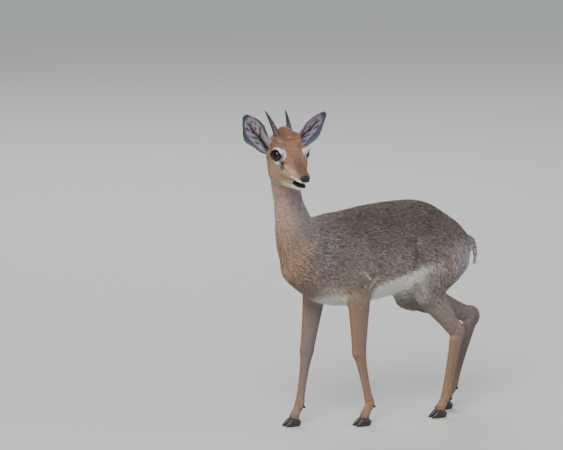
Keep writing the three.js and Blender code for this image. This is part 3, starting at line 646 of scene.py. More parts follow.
def veins(share, across):
    """Dark branching lines inside an ear: a stem up its middle, and side branches that lean to the tip and
    break up into shorter lengths."""
    stem = spot((across + 0.08 + 0.07 * np.sin(8 * share)) / 0.14) * fade(0.66, 0.9, share)
    lean = share - 0.42 * np.abs(across + 0.08) + 0.02 * np.sin(13 * across)
    branch = spot(np.sin(np.pi * lean * 4.6) / 0.7)
    broken = ease(-0.9, 0.3, np.sin(9 * across + 17 * share) + 0.5 * np.sin(31 * share - 14 * across))
    inside = fade(0.5, 0.72, np.abs(across + 0.08))
    return np.clip(np.maximum(stem, branch * broken * inside), 0, 1)


def ear_colours(points, normals, part):
    """A bare border round pale hair with dark veins inside, and short brown hair behind: the colours, and how
    bare the skin is. Places are a share of the ear's length, and across it from -1 inner to 1 outer."""
    line = part["tip"] - part["root"]
    share = (points - part["root"]) @ line / (line @ line)
    middle = np.stack([np.interp(share, part["share"], part["middle"][:, k]) for k in range(3)], 1)
    across = (points - middle) @ part["side"][0] / np.interp(share, part["share"], part["wide"])
    facing = ease(-0.1, 0.35, normals @ part["up"][0])
    border = np.maximum(ease(0.6, 0.68, across), ease(0.82, 0.88, share + 0.05 * across))
    brim = np.maximum(ease(0.95, 1.0, np.abs(across)), ease(0.975, 1.0, share))
    inside = wash(
        EAR_INNER,
        (EAR_VEIN, veins(share, across)),
        (EAR_BORDER, border),
        (BLACK, 0.8 * spot((across - 0.63) / 0.06) * ease(0.2, 0.4, share)),
        (BLACK, 0.85 * spot((across + 0.86) / 0.09) * ease(0.1, 0.3, share)),
        (BLACK, 0.5 * ease(0.86, 0.95, share)),
        (BLACK, spot((across + 0.1) / 0.3) * fade(0.2, 0.42, share)))
    behind = mix(EAR_BACK, BLACK, 0.7 * ease(0.2, 0.9, -across))
    return wash(behind, (inside, facing), (WHITE, 0.75 * brim)), facing * np.maximum(border, 0.25)


# The white ring round each eye reaches this far at an angle from its front corner, and the duct runs from the
# corner to the gland before the eye, on the head's own axes.
WHITE_RING = [(-180, 11.0), (-135, 13.2), (-90, 16), (-45, 17.4), (-10, 18), (20, 16.8), (50, 14.8),
              (90, 13.4), (135, 12.2), (180, 11.0)]
DUCT_FROM = (58, 15)
DUCT_RUN = (9, -5.5)


def face_colours(points, fine):
    """The face's colours from the crown to the chin, and how bare it is."""
    f, u, s = head_axes(points)
    m = np.abs(s)
    gap = np.full(len(points), 1e3)
    turn = np.zeros(len(points))
    for sign in (-1, 1):
        middle, look, long, rise = eye_frame(sign)
        out = points - middle
        ahead, above = out @ long, out @ rise
        reach = np.sqrt(ahead ** 2 + above ** 2 + 0.3 * (out @ look) ** 2)
        turn = np.where(reach < gap, np.arctan2(above, ahead), turn)
        gap = np.minimum(gap, reach)
    angle = np.degrees(turn)
    ring = np.interp(angle, *np.transpose(WHITE_RING))
    lids = fade(10.4, 11.2, gap - 1.4 * spot(turn / 0.35))
    corner = fade(14, 15.6, gap - 1.6 * spot((angle + 14) / 26)) * spot((angle + 12) / 40, power=4)
    ahead, above = f - DUCT_FROM[0], u - DUCT_FROM[1]
    run = np.clip((ahead * DUCT_RUN[0] + above * DUCT_RUN[1]) / np.dot(DUCT_RUN, DUCT_RUN), 0, 1)
    half = 2.6 + 1.2 * run
    duct = spot((ahead - DUCT_RUN[0] * run) / half, (above - DUCT_RUN[1] * run) / half, power=4)
    lobe = spot((f - 69) / 4.6, (u - 4) / 6.2, power=4)
    drip = spot((u - 5 + 0.42 * (f - 70)) / 1.4) * ease(70, 74, f) * fade(76, 92, f)
    outside = ease(12, 17, m)
    gland = spot((f - 67) / 3.6, (u - 10) / 3, power=4) * outside
    nose = ease(105.5, 107, f + 0.1 * (u - 2)) * ease(-3.6, -2.4, u) * fade(7.6, 9, m)
    nose = nose * fade(7.5, 9, u + 0.25 * m)
    seam = ease(86, 90, f) * ease(-19, -17, u - 0.12 * (f - 95)) * fade(-8.6, -7.6, u)
    face = wash(
        FOREHEAD,
        (CROWN, ease(36, 46, u) + 0.3 * (f < 34) * (u > 30)),
        (BRIDGE, 0.85 * ease(58, 88, f) * fade(8, 17, m + 0.1 * (112 - f) + 2 * fine)),
        (CHEEK, fade(6, 14, u - 0.06 * (60 - f) + 2 * fine) * ease(8, 15, m) * ease(-2, 16, f)),
        (CHEEK_REAR, 0.9 * spot((f - 25) / 9, (u - 2) / 16)),
        (BRIDGE, 0.45 * spot((f - 76) / 11, (u + 12) / 3.4)),
        (CREAM, ease(52, 68, f) * fade(-27, -20, u - 0.16 * (f - 74))),
        (WHITE, ease(84, 92, f) * fade(-3.2, -0.8, u - 0.1 * (f - 95))),
        (CREAM, 0.8 * fade(-42, -35, u) * ease(20, 45, f)),
        (0.85 * NECK_SIDE, 0.9 * fade(-14, 10, f + 0.25 * u)),
        (EAR_VEIN, spot((f - 24) / 2.6, (u + 14) / 2.6)),
        (WHITE, fade(ring - 0.7, ring + 0.7, gap + 0.5 * fine)),
        (GREY_SKIN, 0.9 * outside * np.max([corner, duct, lobe, 0.55 * drip], 0)),
        (BLACK, 0.95 * gland),
        (BLACK, lids),
        (NOSE, nose),
        # Painted shade: the nostril openings black inside the dark pad.
        (BLACK, nose * spot((u - 0.8) / 2.4, (m - 6.2) / 3.2, power=4)),
        (mix(LIP, BLACK, ease(-16.5, -13.5, u)), seam))
    return face, np.clip(lids + nose + seam + 0.7 * gland, 0, 1)


# The belly's white ends at this line, [x, z]. The right foreleg stands ahead of the left one, and so do the
# painted shade in the pit behind its elbow and the painted highlight along the fold round it.
BELLY_LINE = [(-20, 238), (40, 240), (75, 249), (115, 260), (154, 275), (200, 284)]
GROIN = (178, 238)
RIGHT_ELBOW_LEAD = -22
ELBOW_PIT_SHADE = (66, -56, 250)
ELBOW_FOLD_HIGHLIGHT = [(57, -58, 280), (73, -60, 265), (61, -56, 248)]


def body_colours(points, normals, weights, blotch, fine, low):
    """Grizzled back and flank, tan neck and breast, white belly and groin, pale rump, painted shade in the
    folds and behind the elbows, and a painted highlight round each elbow pit.
    """
    x, y, z = points.T
    trunk, neck, thigh = (of_kind(weights, kind) for kind in ("trunk", "neck", "thigh"))
    front = ease(0.0, 1.0, -normals[:, 0] - 0.25 * normals[:, 1] + 0.12 * blotch)
    under = ease(0.1, 0.62, -normals[:, 2]) * ease(-40, 20, x)
    inner = ease(-0.2, 0.5, -np.sign(y) * normals[:, 1])
    groin = spot((x - GROIN[0]) / 34, (z - GROIN[1]) / 26) * inner
    front_edge = spot((x - 172 + 0.35 * (z - 240)) / 17, (z - 240) / 25, power=3)
    rear = ease(236, 292, x + 8 * fine - 0.35 * (250 - z)) * ease(190, 236, z) * fade(290, 330, z)
    colour = wash(
        BACK,
        (FLANK, fade(270, 372, z) + 0.15 * blotch),
        (SHOULDER, fade(-10, 60, x) * ease(255, 300, z)),
        (NECK_SIDE, ease(0.3, 0.75, neck) * ease(330, 400, z)),
        (NECK_FRONT, front * fade(-40, 0, x) * ease(290, 380, z)),
        (BREAST, front * 0.85 * fade(-66, -18, x) * fade(312, 378, z)),
        (LEG_SIDE, 0.5 * fade(238, 292, z) * fade(60, 120, x)),
        (CREAM, 0.5 * under * trunk * fade(250, 285, z)),
        (BELLY, low * np.clip(trunk * 1.8, 0, 1) * ease(-30, 10, x)),
        (BELLY, groin * 1.4),
        (CREAM, 0.45 * front_edge * ease(0.2, 0.7, thigh)),
        (RUMP_PALE, 0.8 * rear))
    # Painted shade: each crease is darkened along its line, the more the deeper it is.
    for start, end, half, height in CREASES:
        colour = mix(colour, 0.35 * colour, -0.27 * height * near_line(points, start, end, half * 0.85))
    # Painted shade in the pit behind each elbow, and a painted highlight in cream along the fold round it.
    for lead, flip in ((0, 1), (RIGHT_ELBOW_LEAD, -1)):
        pit, *bend = (np.array([x0 + lead, y0 * flip, z0]) for x0, y0, z0 in (ELBOW_PIT_SHADE, *ELBOW_FOLD_HIGHLIGHT))
        colour = mix(colour, 0.62 * LEG_SIDE, 0.7 * spot(np.linalg.norm(points - pit, axis=1) / 17, power=4))
        for start, end in zip(bend, bend[1:]):
            colour = mix(colour, CREAM, 0.5 * near_line(points, start, end, 2.8))
    return colour


def leg_colours(points, normals):
    """Orange-tan edges in front and behind, browner sides, and greyer inner faces darkened as painted shade,
    most on the hind legs.
    """
    x, y, z = points.T
    edge = ease(0.35, 0.95, np.abs(normals[:, 0]))
    inner = ease(0.1, 0.7, -np.sign(y) * normals[:, 1])
    return wash(
        LEG_SIDE,
        (LEG_EDGE, edge),
        (LEG_INSIDE_GREY_AND_SHADE, 0.85 * inner),
        # Painted shade, deepest on the inner faces of the hind legs.
        (0.5 * LEG_INSIDE_GREY_AND_SHADE, 0.6 * inner * ease(160, 230, x) * ease(20, 60, z)),
        (LEG_EDGE, 0.45 * fade(30, 130, z)))


def markings(points, normals, weights):
    """The buck's colours at points of its hide: the colour, how bare the skin is there, and how strongly the
    hairs differ from one another."""
    x, _, z = points.T
    blotch, fine = patches(points, 46, 3), patches(points, 13, 5)
    trunk, neck, ears = (of_kind(weights, kind) for kind in ("trunk", "neck", "ear"))
    legs = of_kind(weights, "foreleg", "shank")
    head = ease(0.25, 0.8, of_kind(weights, "skull", "jaw"))
    belly_line = np.interp(x, *np.transpose(BELLY_LINE))
    low = fade(belly_line - 7, belly_line + 7, z + 4 * fine)
    hind = ease(135, 165, x)
    below = fade(212 - 92 * hind, 262 - 42 * hind, z + 0.12 * (x - 60) * (1 - hind) + 6 * fine)
    face, bare = face_colours(points, fine)
    on_leg = below * np.clip(legs * 1.6 + 0.25, 0, 1) * (1 - low * trunk)
    body = body_colours(points, normals, weights, blotch, fine, low)
    colour = wash(body, (leg_colours(points, normals), on_leg), (face, head))
    bare = head * bare
    for name in ("ear_right", "ear_left"):
        here = np.clip(of_kind(weights, name) * 2.2 - 0.5, 0, 1)
        ear, naked = ear_colours(points, normals, PARTS[name])
        colour = mix(colour, ear, here)
        bare = np.maximum(bare, here * naked)
    ticked = 0.88 - 0.8 * low * trunk - 0.6 * below - 0.3 * head - 0.35 * neck - 0.75 * ears
    return np.clip(colour, 0, 1), np.clip(bare, 0, 1), np.clip(ticked, 0.12, 1)


colour, bare, ticked = markings(skin, normals, weights)

# Dark and pale specks that break up a colour, as the bands of single hairs do, on the hide and the coat.
def new_group(name, inputs, outputs):
    """A node group with named sockets, each (name, type) with a starting value for the inputs."""
    group = bpy.data.node_groups.new(name, "ShaderNodeTree")
    for label, kind, value in inputs:
        group.interface.new_socket(label, in_out="INPUT", socket_type=kind).default_value = value
    for label, kind in outputs:
        group.interface.new_socket(label, in_out="OUTPUT", socket_type=kind)
    return group, group.nodes.new("NodeGroupInput"), group.nodes.new("NodeGroupOutput")


def node(tree, kind, settings=None, **inputs):
    """A shader node with its settings, and its inputs set or linked from another node's socket. Inputs go by
    name, or by number as i0, i1 and so on."""
    made = tree.nodes.new("ShaderNode" + kind)
    for key, value in (settings or {}).items():
        setattr(made, key, value)
    for key, value in inputs.items():
        socket = made.inputs[int(key[1:]) if key[1:].isdigit() else key.replace("_", " ")]
        if isinstance(value, bpy.types.NodeSocket):
            tree.links.new(value, socket)
        else:
            socket.default_value = value
    return made


def feed(reader, **sources):
    """Links sockets to a node's inputs by name."""
    for key, source in sources.items():
        reader.id_data.links.new(source, reader.inputs[key.replace("_", " ")])


ticking, given, out = new_group("ticked hair", [
    ("Color", "NodeSocketColor", (0.2, 0.15, 0.12, 1)), ("Ticking", "NodeSocketFloat", 1.0),
    ("Size", "NodeSocketFloat", 600.0)], [("Color", "NodeSocketColor"), ("Height", "NodeSocketFloat")])
where = node(ticking, "TexCoord").outputs["Object"]
speck = node(ticking, "TexNoise", Vector=where, Scale=given.outputs["Size"], Detail=3.0,
             Roughness=0.6)
light = node(ticking, "MapRange", Value=speck.outputs["Fac"], From_Min=0.32, From_Max=0.68,
             To_Min=0.45, To_Max=1.5)
strong = node(ticking, "Mix", {"data_type": "FLOAT"}, i0=given.outputs["Ticking"], i2=1.0,
              i3=light.outputs["Result"])
scaled = node(ticking, "VectorMath", {"operation": "SCALE"}, i0=given.outputs["Color"],
              Scale=strong.outputs[0])
feed(out, Color=scaled.outputs["Vector"], Height=speck.outputs["Fac"])


def new_material(name, **constants):
    """A material and its Principled shader with these plain values set on the shader's own sockets."""
    material = bpy.data.materials.new(name)
    material.use_nodes = True
    shader = material.node_tree.nodes["Principled BSDF"]
    for key, value in constants.items():
        shader.inputs[key.replace("_", " ")].default_value = value
    return material, material.node_tree, shader


hide_material, tree, shader = new_material("hide", Roughness=0.8, Specular_IOR_Level=0.3)
painted = node(tree, "Attribute", {"attribute_name": "coat"})
ticks = node(tree, "Attribute", {"attribute_name": "ticked"})
naked = node(tree, "Attribute", {"attribute_name": "bare"})
group = node(tree, "Group", {"node_tree": ticking}, Color=painted.outputs["Color"],
             Ticking=ticks.outputs["Fac"], Size=620.0)
gloss = node(tree, "MapRange", Value=naked.outputs["Fac"], To_Min=0.85, To_Max=0.38)
pores = node(tree, "Bump", Strength=0.5, Distance=0.0006, Height=group.outputs["Height"])
feed(shader, Base_Color=group.outputs["Color"], Roughness=gloss.outputs["Result"],
     Normal=pores.outputs["Normal"])

FLESH = ["torso", "neck", "head", "tail"]
for name in SIDES:
    FLESH += [f"ear_{name}", *[f"foreleg_{name}_{bone}" for bone in ("upper", "cannon", "pastern")],
              *[f"hindleg_{name}_{bone}" for bone in ("thigh", "shank", "cannon", "pastern")]]
hide = put_mesh("hide", skin, quads, {"coat": colour, "bare": bare, "ticked": 0.8 * ticked})
hide.data.materials.append(hide_material)
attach(hide, "root")
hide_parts(*FLESH)

# The coat: short glossy guard hair that grows out of the hide, banded dark and pale over back and flanks and
# plain on the belly, face and legs. Each tuft is a solid three-sided blade, rooted in the hide, that tapers
# to a point and lies along it.

# By part: a tuft's length and width in millimetres, how steeply it lifts off the hide, and how many stand on
# a square millimetre. PATCH is the size of a tuft's own place on the map OFBake.
COAT = {
    "trunk": (8.2, 1.0, 0.28, 0.43), "neck": (6.6, 0.85, 0.26, 0.62), "thigh": (8.2, 1.0, 0.28, 0.43),
    "foreleg": (3.9, 0.6, 0.14, 1.4), "shank": (4.2, 0.62, 0.14, 1.3), "tail": (8.5, 0.9, 0.2, 0.8),
    "skull": (3.7, 0.5, 0.2, 2.1), "jaw": (3.6, 0.5, 0.2, 2.0), "ear": (3.0, 0.42, 0.1, 1.6),
}
PATCH = 0.003
CREST_LONGER = 3.0
RUMP_LONGER = 3.2
FORE_AND_HIND = 118
draw = np.random.default_rng(11)
triangles = np.vstack([quads[:, [0, 1, 2]], quads[:, [0, 2, 3]]])
corner = skin[triangles]
areas = np.linalg.norm(np.cross(corner[:, 1] - corner[:, 0], corner[:, 2] - corner[:, 0]), axis=1) / 2
at_skin = np.einsum("pn,pk->nk", weights, np.array([COAT[kind] for kind in kind_of]))
f, u, s = head_axes(skin)
muzzle = ease(60, 100, f) * on_head
crown = of_kind(weights, "skull") * ease(36, 44, u) * fade(28, 50, f)
rear = ease(0.3, 0.9, normals[:, 0]) * ease(235, 262, skin[:, 0])
rear = rear * ease(215, 240, skin[:, 2])
length_at = at_skin[:, 0] * (1 - 0.4 * muzzle) + CREST_LONGER * crown
length_at = length_at * (1 - 0.35 * near_eye * on_head) + RUMP_LONGER * rear
lift_at = at_skin[:, 2] + 0.28 * crown + 0.05 * rear
dense_at = at_skin[:, 3] * fade(0.35, 0.7, bare) * (skin[:, 2] > 6)


def scatter(density):
    """Roots drawn over the hide at that many to the square millimetre: for each its triangle and its
    place in it."""
    mean = density[triangles].mean(1) * areas
    count = (mean + draw.random(len(mean))).astype(int)
    which = np.repeat(np.arange(len(triangles)), count)
    a, b = draw.random((2, len(which)))
    a, b = np.where(a + b > 1, 1 - a, a), np.where(a + b > 1, 1 - b, b)
    return which, np.stack([1 - a - b, a, b], 1)


def blend(values, which, share):
    """Values of the hide's points, at places in its triangles."""
    corners = values[triangles[which]]
    return np.einsum("nc,nc...->n...", share, corners)


coat_material, tree, shader = new_material("coat", Roughness=0.65, Specular_IOR_Level=0.25)
painted = node(tree, "Attribute", {"attribute_name": "coat"})
group = node(tree, "Group", {"node_tree": ticking}, Color=painted.outputs["Color"], Ticking=0.25,
             Size=900.0)
fibre = node(tree, "Bump", Strength=0.3, Distance=0.0002, Height=group.outputs["Height"])
feed(shader, Base_Color=group.outputs["Color"], Normal=fibre.outputs["Normal"])


def grow(name, tufts, tones, levels=(0.5,), droop=0.35):
    """Tufts as one mesh, from arrays of root, up, way, length, width, lift and place on the map OFBake. A
    tuft's line is root + way * length * t + up * length * lift * (t - droop * t^2), and its section is a low
    triangle that narrows to the tip. Tones are the colours at root, middle and tip."""
    root, up, way, length, width, lift, place_uv = tufts
    side = np.cross(way, up)
    rings = [0.0, *levels]
    points, shades, patch = [], [], []
    for t in rings:
        line = root - 0.35 * up * (t == 0) + way * (length * t)[:, None]
        line = line + up * (length * lift * (t - droop * t * t))[:, None]
        half = (width / 2 * (0.8 if t == 0 else 1 - t ** 2 * 0.75))[:, None]
        points += [line - side * half, line + side * half, line + up * half * 0.75]
        shade = tones[0] if t == 0 else tones[1]
        shades += [shade, shade, shade]
        patch += [(-0.5, t - 0.5), (0.5, t - 0.5), (0.0, t - 0.5)]
    points.append(root + way * length[:, None] + up * (length * lift * (1 - droop))[:, None])
    shades.append(tones[2])
    patch.append((0.0, 0.5))
    block = 3 * len(rings) + 1
    points = np.stack(points, 1).reshape(-1, 3)
    shades = np.stack(shades, 1).reshape(-1, 3)
    faces = [(0, 1, 2)]
    for k in range(len(rings) - 1):
        for c in range(3):
            a, b = 3 * k + c, 3 * k + (c + 1) % 3
            faces += [(a, a + 3, b), (b, a + 3, b + 3)]
    last = 3 * (len(rings) - 1)
    faces += [(last + c, block - 1, last + (c + 1) % 3) for c in range(3)]
    faces = (np.array(faces)[None] + np.arange(len(root))[:, None, None] * block).reshape(-1, 3)
    piece = put_mesh(name, points, faces, {"coat": shades})
    patch = np.array(patch) * PATCH
    uv = (place_uv[:, None] * (1 - 2 * PATCH) + PATCH + patch[None]).reshape(-1, 2)
    layer = piece.data.uv_layers.new(name="OFBake")
    layer.data.foreach_set("uv", uv[faces.ravel()].astype(np.float32).ravel())
    piece.data.materials.append(coat_material)
    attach(piece, "root")


def hair_tones(base, ticked, grain):
    """Root, middle and tip colours of hairs: pale-banded, dark-tipped or plain. A fine grain over the hide
    makes neighbours go together, so that the coat looks peppered from a distance."""
    count = len(base)
    pick = 0.5 + 0.2 * grain + draw.normal(0, 0.29, count)
    value = np.exp(ticked * (0.08 + 0.1 * grain + draw.normal(0, 0.13, count)))
    pale = ticked * ease(0.58, 0.8, pick)
    dark = ticked * (1 - ease(0.22, 0.44, pick))
    middle = base * value[:, None]
    middle = mix(middle, middle * 1.55 + np.array([0.03, 0.024, 0.018]), 0.9 * pale)
    middle = mix(middle, middle * 0.33, 0.85 * dark)
    tip = mix(middle * 1.08, middle * 0.5, 0.6 * ticked * (draw.random(count) > 0.6))
    return np.clip(base * (0.78 - 0.34 * ticked[:, None]), 0, 1), np.clip(middle, 0, 1), np.clip(tip, 0, 1)


which, share = scatter(dense_at)
root = blend(skin, which, share)
up = unit(blend(normals, which, share))
way = blend(lie, which, share)
way = unit(way - up * (way * up).sum(1, keepdims=True))
swing = draw.normal(0, 0.17, len(root)) + 0.22 * patches(root, 9, 8)
way = unit(way * np.cos(swing)[:, None] + np.cross(up, way) * np.sin(swing)[:, None])
length = blend(length_at, which, share) * draw.uniform(0.72, 1.25, len(root))
width = blend(at_skin[:, 1], which, share) * draw.uniform(0.8, 1.2, len(root))
lift = blend(lift_at, which, share) * draw.uniform(0.5, 1.35, len(root))
part_at = np.array([blend(w, which, share) for w in weights])
base, _, mark = markings(root, up, part_at)
tones = hair_tones(base, mark, np.clip(patches(root, 2.4, 21) * 1.4, -1.1, 1.1))

# A tuft's patch lies at its root's place on the hide, unrolled part by part: the angle round, and the place
# along, moved on a little at random. Each part is one piece of the coat, or two or four of them.
main = part_at.argmax(0)
corner_of = triangles[which, share.argmax(1)]
stations = np.array([len(PARTS[name]["middle"]) for name in NAMES])
map_place = np.stack([(turn[main, corner_of] / (2 * np.pi)) % 1, place[main, corner_of] / stations[main]], 1)
map_place[:, 1] = np.clip(map_place[:, 1] + draw.uniform(0, 1, len(root)) / stations[main], 0, 1)
on_left = {"trunk": root[:, 1] < 0, "skull": head_axes(root)[2] > 0}
ahead = root[:, 0] < FORE_AND_HIND
tufts = [root, up, way, length, width, lift, map_place]
for i, kind in enumerate(NAMES):
    groups = {kind: main == i}
    if kind in on_left:
        groups = {f"{kind}_left": (main == i) & on_left[kind], f"{kind}_right": (main == i) & ~on_left[kind]}
    if kind == "trunk":
        groups = {f"{name}_{end}": chosen & here for name, chosen in groups.items()
                  for end, here in (("fore", ahead), ("hind", ~ahead))}
    short = kind.startswith(("skull", "jaw", "ear", "foreleg", "shank"))
    for name, chosen in groups.items():
        shades = [tone[chosen] for tone in tones]
        if short:
            shades[0] = 0.75 * shades[1]
        grow(f"coat_{name}", [each[chosen] for each in tufts], shades, () if short else (0.5,))

# Eyes: wet glossy balls with a clear bulge in front, an orange-brown iris and a wide dark pupil, and the
# upper lid's shadow painted over the top of each. Each is sunk in its socket and held there by the lids.
EYE_ROWS = 56
EYE_COLUMNS = 72


def colour_ramp(tree, source, *stops):
    """A colour ramp read by a socket, from [place, colour] stops in order."""
    ramp = node(tree, "ValToRGB", Fac=source)
    while len(ramp.color_ramp.elements) < len(stops):
        ramp.color_ramp.elements.new(1.0)
    for element, (at, shade) in zip(ramp.color_ramp.elements, stops):
        element.position = at
        element.color = (*shade, 1)
    return ramp.outputs["Color"]


eye_material, tree, shader = new_material("eye", Roughness=0.05, Specular_IOR_Level=0.32)
# The attribute gaze is the place on the ball's front: ahead, above, and how far out in the oval of the pupil.
gaze = node(tree, "Attribute", {"attribute_name": "gaze"})
off = node(tree, "SeparateXYZ", Vector=gaze.outputs["Vector"])
strands = node(tree, "TexNoise", Vector=gaze.outputs["Vector"], Scale=9.0, Detail=4.0)
wobble = node(tree, "Math", {"operation": "MULTIPLY_ADD"}, i0=strands.outputs["Fac"], i1=0.06,
              i2=off.outputs["Z"])
iris = colour_ramp(tree, wobble.outputs[0], (0.0, BLACK * 0.3), (0.47, BLACK * 0.3),
                   (0.50, paint(60, 30, 16)), (0.56, paint(120, 62, 28)), (0.61, paint(76, 38, 18)),
                   (0.65, paint(20, 12, 10)), (1.0, paint(14, 10, 9)))
# Painted shadow of the upper lid: the ball is darkened towards its top.
shade = node(tree, "MapRange", Value=off.outputs["Y"], From_Min=-0.35, From_Max=0.3, To_Min=1.1,
             To_Max=0.22)
lid_shadowed = node(tree, "VectorMath", {"operation": "SCALE"}, i0=iris,
              Scale=shade.outputs["Result"])
feed(shader, Base_Color=lid_shadowed.outputs["Vector"])
for name, sign in (("left", 1), ("right", -1)):
    _, look, long, rise = eye_frame(sign)
    v = (np.linspace(0.01, 1, EYE_ROWS) ** 1.1 * (np.pi - 0.01))[:, None, None]
    t = np.linspace(0, 2 * np.pi, EYE_COLUMNS, endpoint=False)[:, None]
    bulge = EYE_RADIUS - 0.2 + 0.7 * spot(v / 0.6, power=4)
    centre = head_point(EYE[0], EYE[1], sign * EYE[2])
    lens = centre + bulge * (look * np.cos(v) + long * np.sin(v) * np.cos(t) + rise * np.sin(v) * np.sin(t))
    points, faces = shell(lens)
    out = (points - centre) / EYE_RADIUS
    ahead, above = out @ long, out @ rise
    oval = np.where(out @ look > 0, np.sqrt((ahead * 0.86) ** 2 + above ** 2), 1)
    eye = put_mesh(f"eye_{name}_ball", points, faces, {"gaze": np.stack([ahead, above, oval], 1)})
    eye.data.materials.append(eye_material)
    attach(eye, "root")
    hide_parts(f"eye_{name}")

# Horns: short spikes of dark horn over bone cores, which stand on the forehead above the eyes. They are
# ringed over their lower two thirds and worn smooth at the tip.
HORN_FOOT = [17, 32, 12]
HORN_POINT = [-31, 61.6, 20]
HORN_RINGS = 9
HORN_RINGED = 0.72
HORN_HALF = 5.9
HORN_TIP = 0.8
HORN_ROWS = 150
HORN_COLUMNS = 32
fibres, given, out = new_group("horn fibres", [
    ("To the metre", "NodeSocketVector", (400, 400, 400)), ("Detail", "NodeSocketFloat", 4.0)],
    [("Fac", "NodeSocketFloat")])
where = node(fibres, "TexCoord").outputs["Object"]
drawn = node(fibres, "VectorMath", {"operation": "MULTIPLY"}, i0=where,
             i1=given.outputs["To the metre"])
grain = node(fibres, "TexNoise", Vector=drawn.outputs["Vector"], Scale=1.0,
             Detail=given.outputs["Detail"])
feed(out, Fac=grain.outputs["Fac"])
horn_material, tree, shader = new_material("horn", Roughness=0.42, Specular_IOR_Level=0.5)
run = node(tree, "Attribute", {"attribute_name": "share"})
dark = colour_ramp(tree, run.outputs["Fac"], (0.1, paint(84, 68, 60)), (0.7, paint(30, 30, 40)))
grain = node(tree, "Group", {"node_tree": fibres}, To_the_metre=(420, 420, 420), Detail=5.0)
darker = node(tree, "MapRange", Value=grain.outputs["Fac"], To_Min=0.5, To_Max=1.5)
shade = node(tree, "VectorMath", {"operation": "SCALE"}, i0=dark, Scale=darker.outputs["Result"])
rough = node(tree, "Bump", Strength=0.6, Distance=0.0004, Height=grain.outputs["Fac"])
feed(shader, Base_Color=shade.outputs["Vector"], Normal=rough.outputs["Normal"])
for name, sign in (("left", 1), ("right", -1)):
    foot, point = (head_point(p[0], p[1], sign * p[2]) for p in (HORN_FOOT, HORN_POINT))
    t = np.linspace(0, 1, HORN_ROWS)
    ringed = ease(0, 0.15, HORN_RINGED - t)
    ridge = 0.24 * ringed * np.cos(2 * np.pi * HORN_RINGS * (t / HORN_RINGED + 0.05 * np.sin(9 * t)))
    girth = HORN_HALF + (HORN_TIP - HORN_HALF) * t ** 1.15 + ridge * (1 - 0.6 * t)
    girth[-1] = 0.25
    line = foot + (point - foot) * t[:, None] + UP * (2.5 * np.sin(np.pi * t))[:, None]
    rows = np.column_stack([line, girth, girth * 1.08, girth * 1.08, np.ones((HORN_ROWS, 2))])
    points, faces = shell(ring_part(rows, ACROSS, HORN_COLUMNS, 1)["rings"])
    share_up = np.concatenate([np.repeat(t, HORN_COLUMNS), [0, 1]])
    spike = put_mesh(f"horn_{name}_ringed", points, faces, {"share": share_up})
    spike.data.materials.append(horn_material)
    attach(spike, "root")
    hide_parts(f"horn_{name}")

# Hooves: two narrow pointed claws of black horn to a foot, each grown round the last bone of its toe and worn
# flat underneath. Two small dewclaws sit behind each fetlock, clear of the ground.
HOOF = {"length": 27, "width": 9.6, "height": 15.5, "spread": 5.193}
# Claw rows are [share of the length, half width, height], the last two as shares of the whole.
CLAW_ROWS = [[0, 0.3, 0.5], [0.08, 0.42, 0.74], [0.28, 0.5, 1], [0.5, 0.49, 0.92], [0.72, 0.4, 0.62],
             [0.9, 0.24, 0.34], [1, 0.1, 0.2]]
hoof_material, tree, shader = new_material("hoof", Roughness=0.38, Specular_IOR_Level=0.5)
grain = node(tree, "Group", {"node_tree": fibres}, To_the_metre=(90, 90, 900), Detail=4.0)
dark = colour_ramp(tree, grain.outputs["Fac"], (0.0, paint(20, 18, 18)), (1.0, paint(62, 54, 50)))
lines = node(tree, "Bump", Strength=0.4, Distance=0.0003, Height=grain.outputs["Fac"])
feed(shader, Base_Color=dark, Normal=lines.outputs["Normal"])


def claw(heel, out, turn=0.05):
    """One claw: rings from heel to toe, squarer below, flattened on the ground at z = 0."""
    way = np.array([-np.cos(turn), out * np.sin(turn), 0])
    rows = []
    for share, half, high in CLAW_ROWS:
        at = heel + share * HOOF["length"] * way
        tall = high * HOOF["height"]
        rows.append([at[0], at[1], tall * 0.3, half * HOOF["width"], tall * 0.7, tall * 0.6, 1, 0.8])
    points, faces = shell(ring_part(rows, OUTWARDS, 32, 5)["rings"])
    points[:, 2] = np.maximum(points[:, 2], 0)
    return points, faces


def dewclaw(fetlock, out):
    """A small blunt cone from the back of the fetlock, pointing down and back."""
    root, tip = fetlock + np.array([2, out * 4, 0]), fetlock + np.array([9, out * 5.2, -6.5])
    rows = [[*(root + t * (tip - root)), *[3 - 1.2 * t] * 3, 1, 1] for t in (0, 0.5, 0.9)]
    rows.append([*tip, 0.5, 0.5, 0.5, 1, 1])
    return shell(ring_part(rows, np.array([0, 1.0, 0]), 16, 4)["rings"])


for leg, joints_of in (("foreleg", FORELEG_JOINTS), ("hindleg", HINDLEG_JOINTS)):
    for name, sign in SIDES.items():
        joints = np.array([[x, sign * y, z] for x, y, z in joints_of[name]])
        for label, out in (("outer", 1), ("inner", -1)):
            heel = joints[-1] * [1, 1, 0] + [HOOF["length"] * 0.3, out * sign * HOOF["spread"], 0]
            nail = put_mesh(f"{leg}_{name}_{label}_hoof", *claw(heel, out * sign))
            nail.data.materials.append(hoof_material)
            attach(nail, "root")
            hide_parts(f"{leg}_{name}_claw_{label}")
            dew = put_mesh(f"{leg}_{name}_{label}_dewclaw", *dewclaw(joints[-2], out))
            dew.data.materials.append(hoof_material)
            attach(dew, "root")

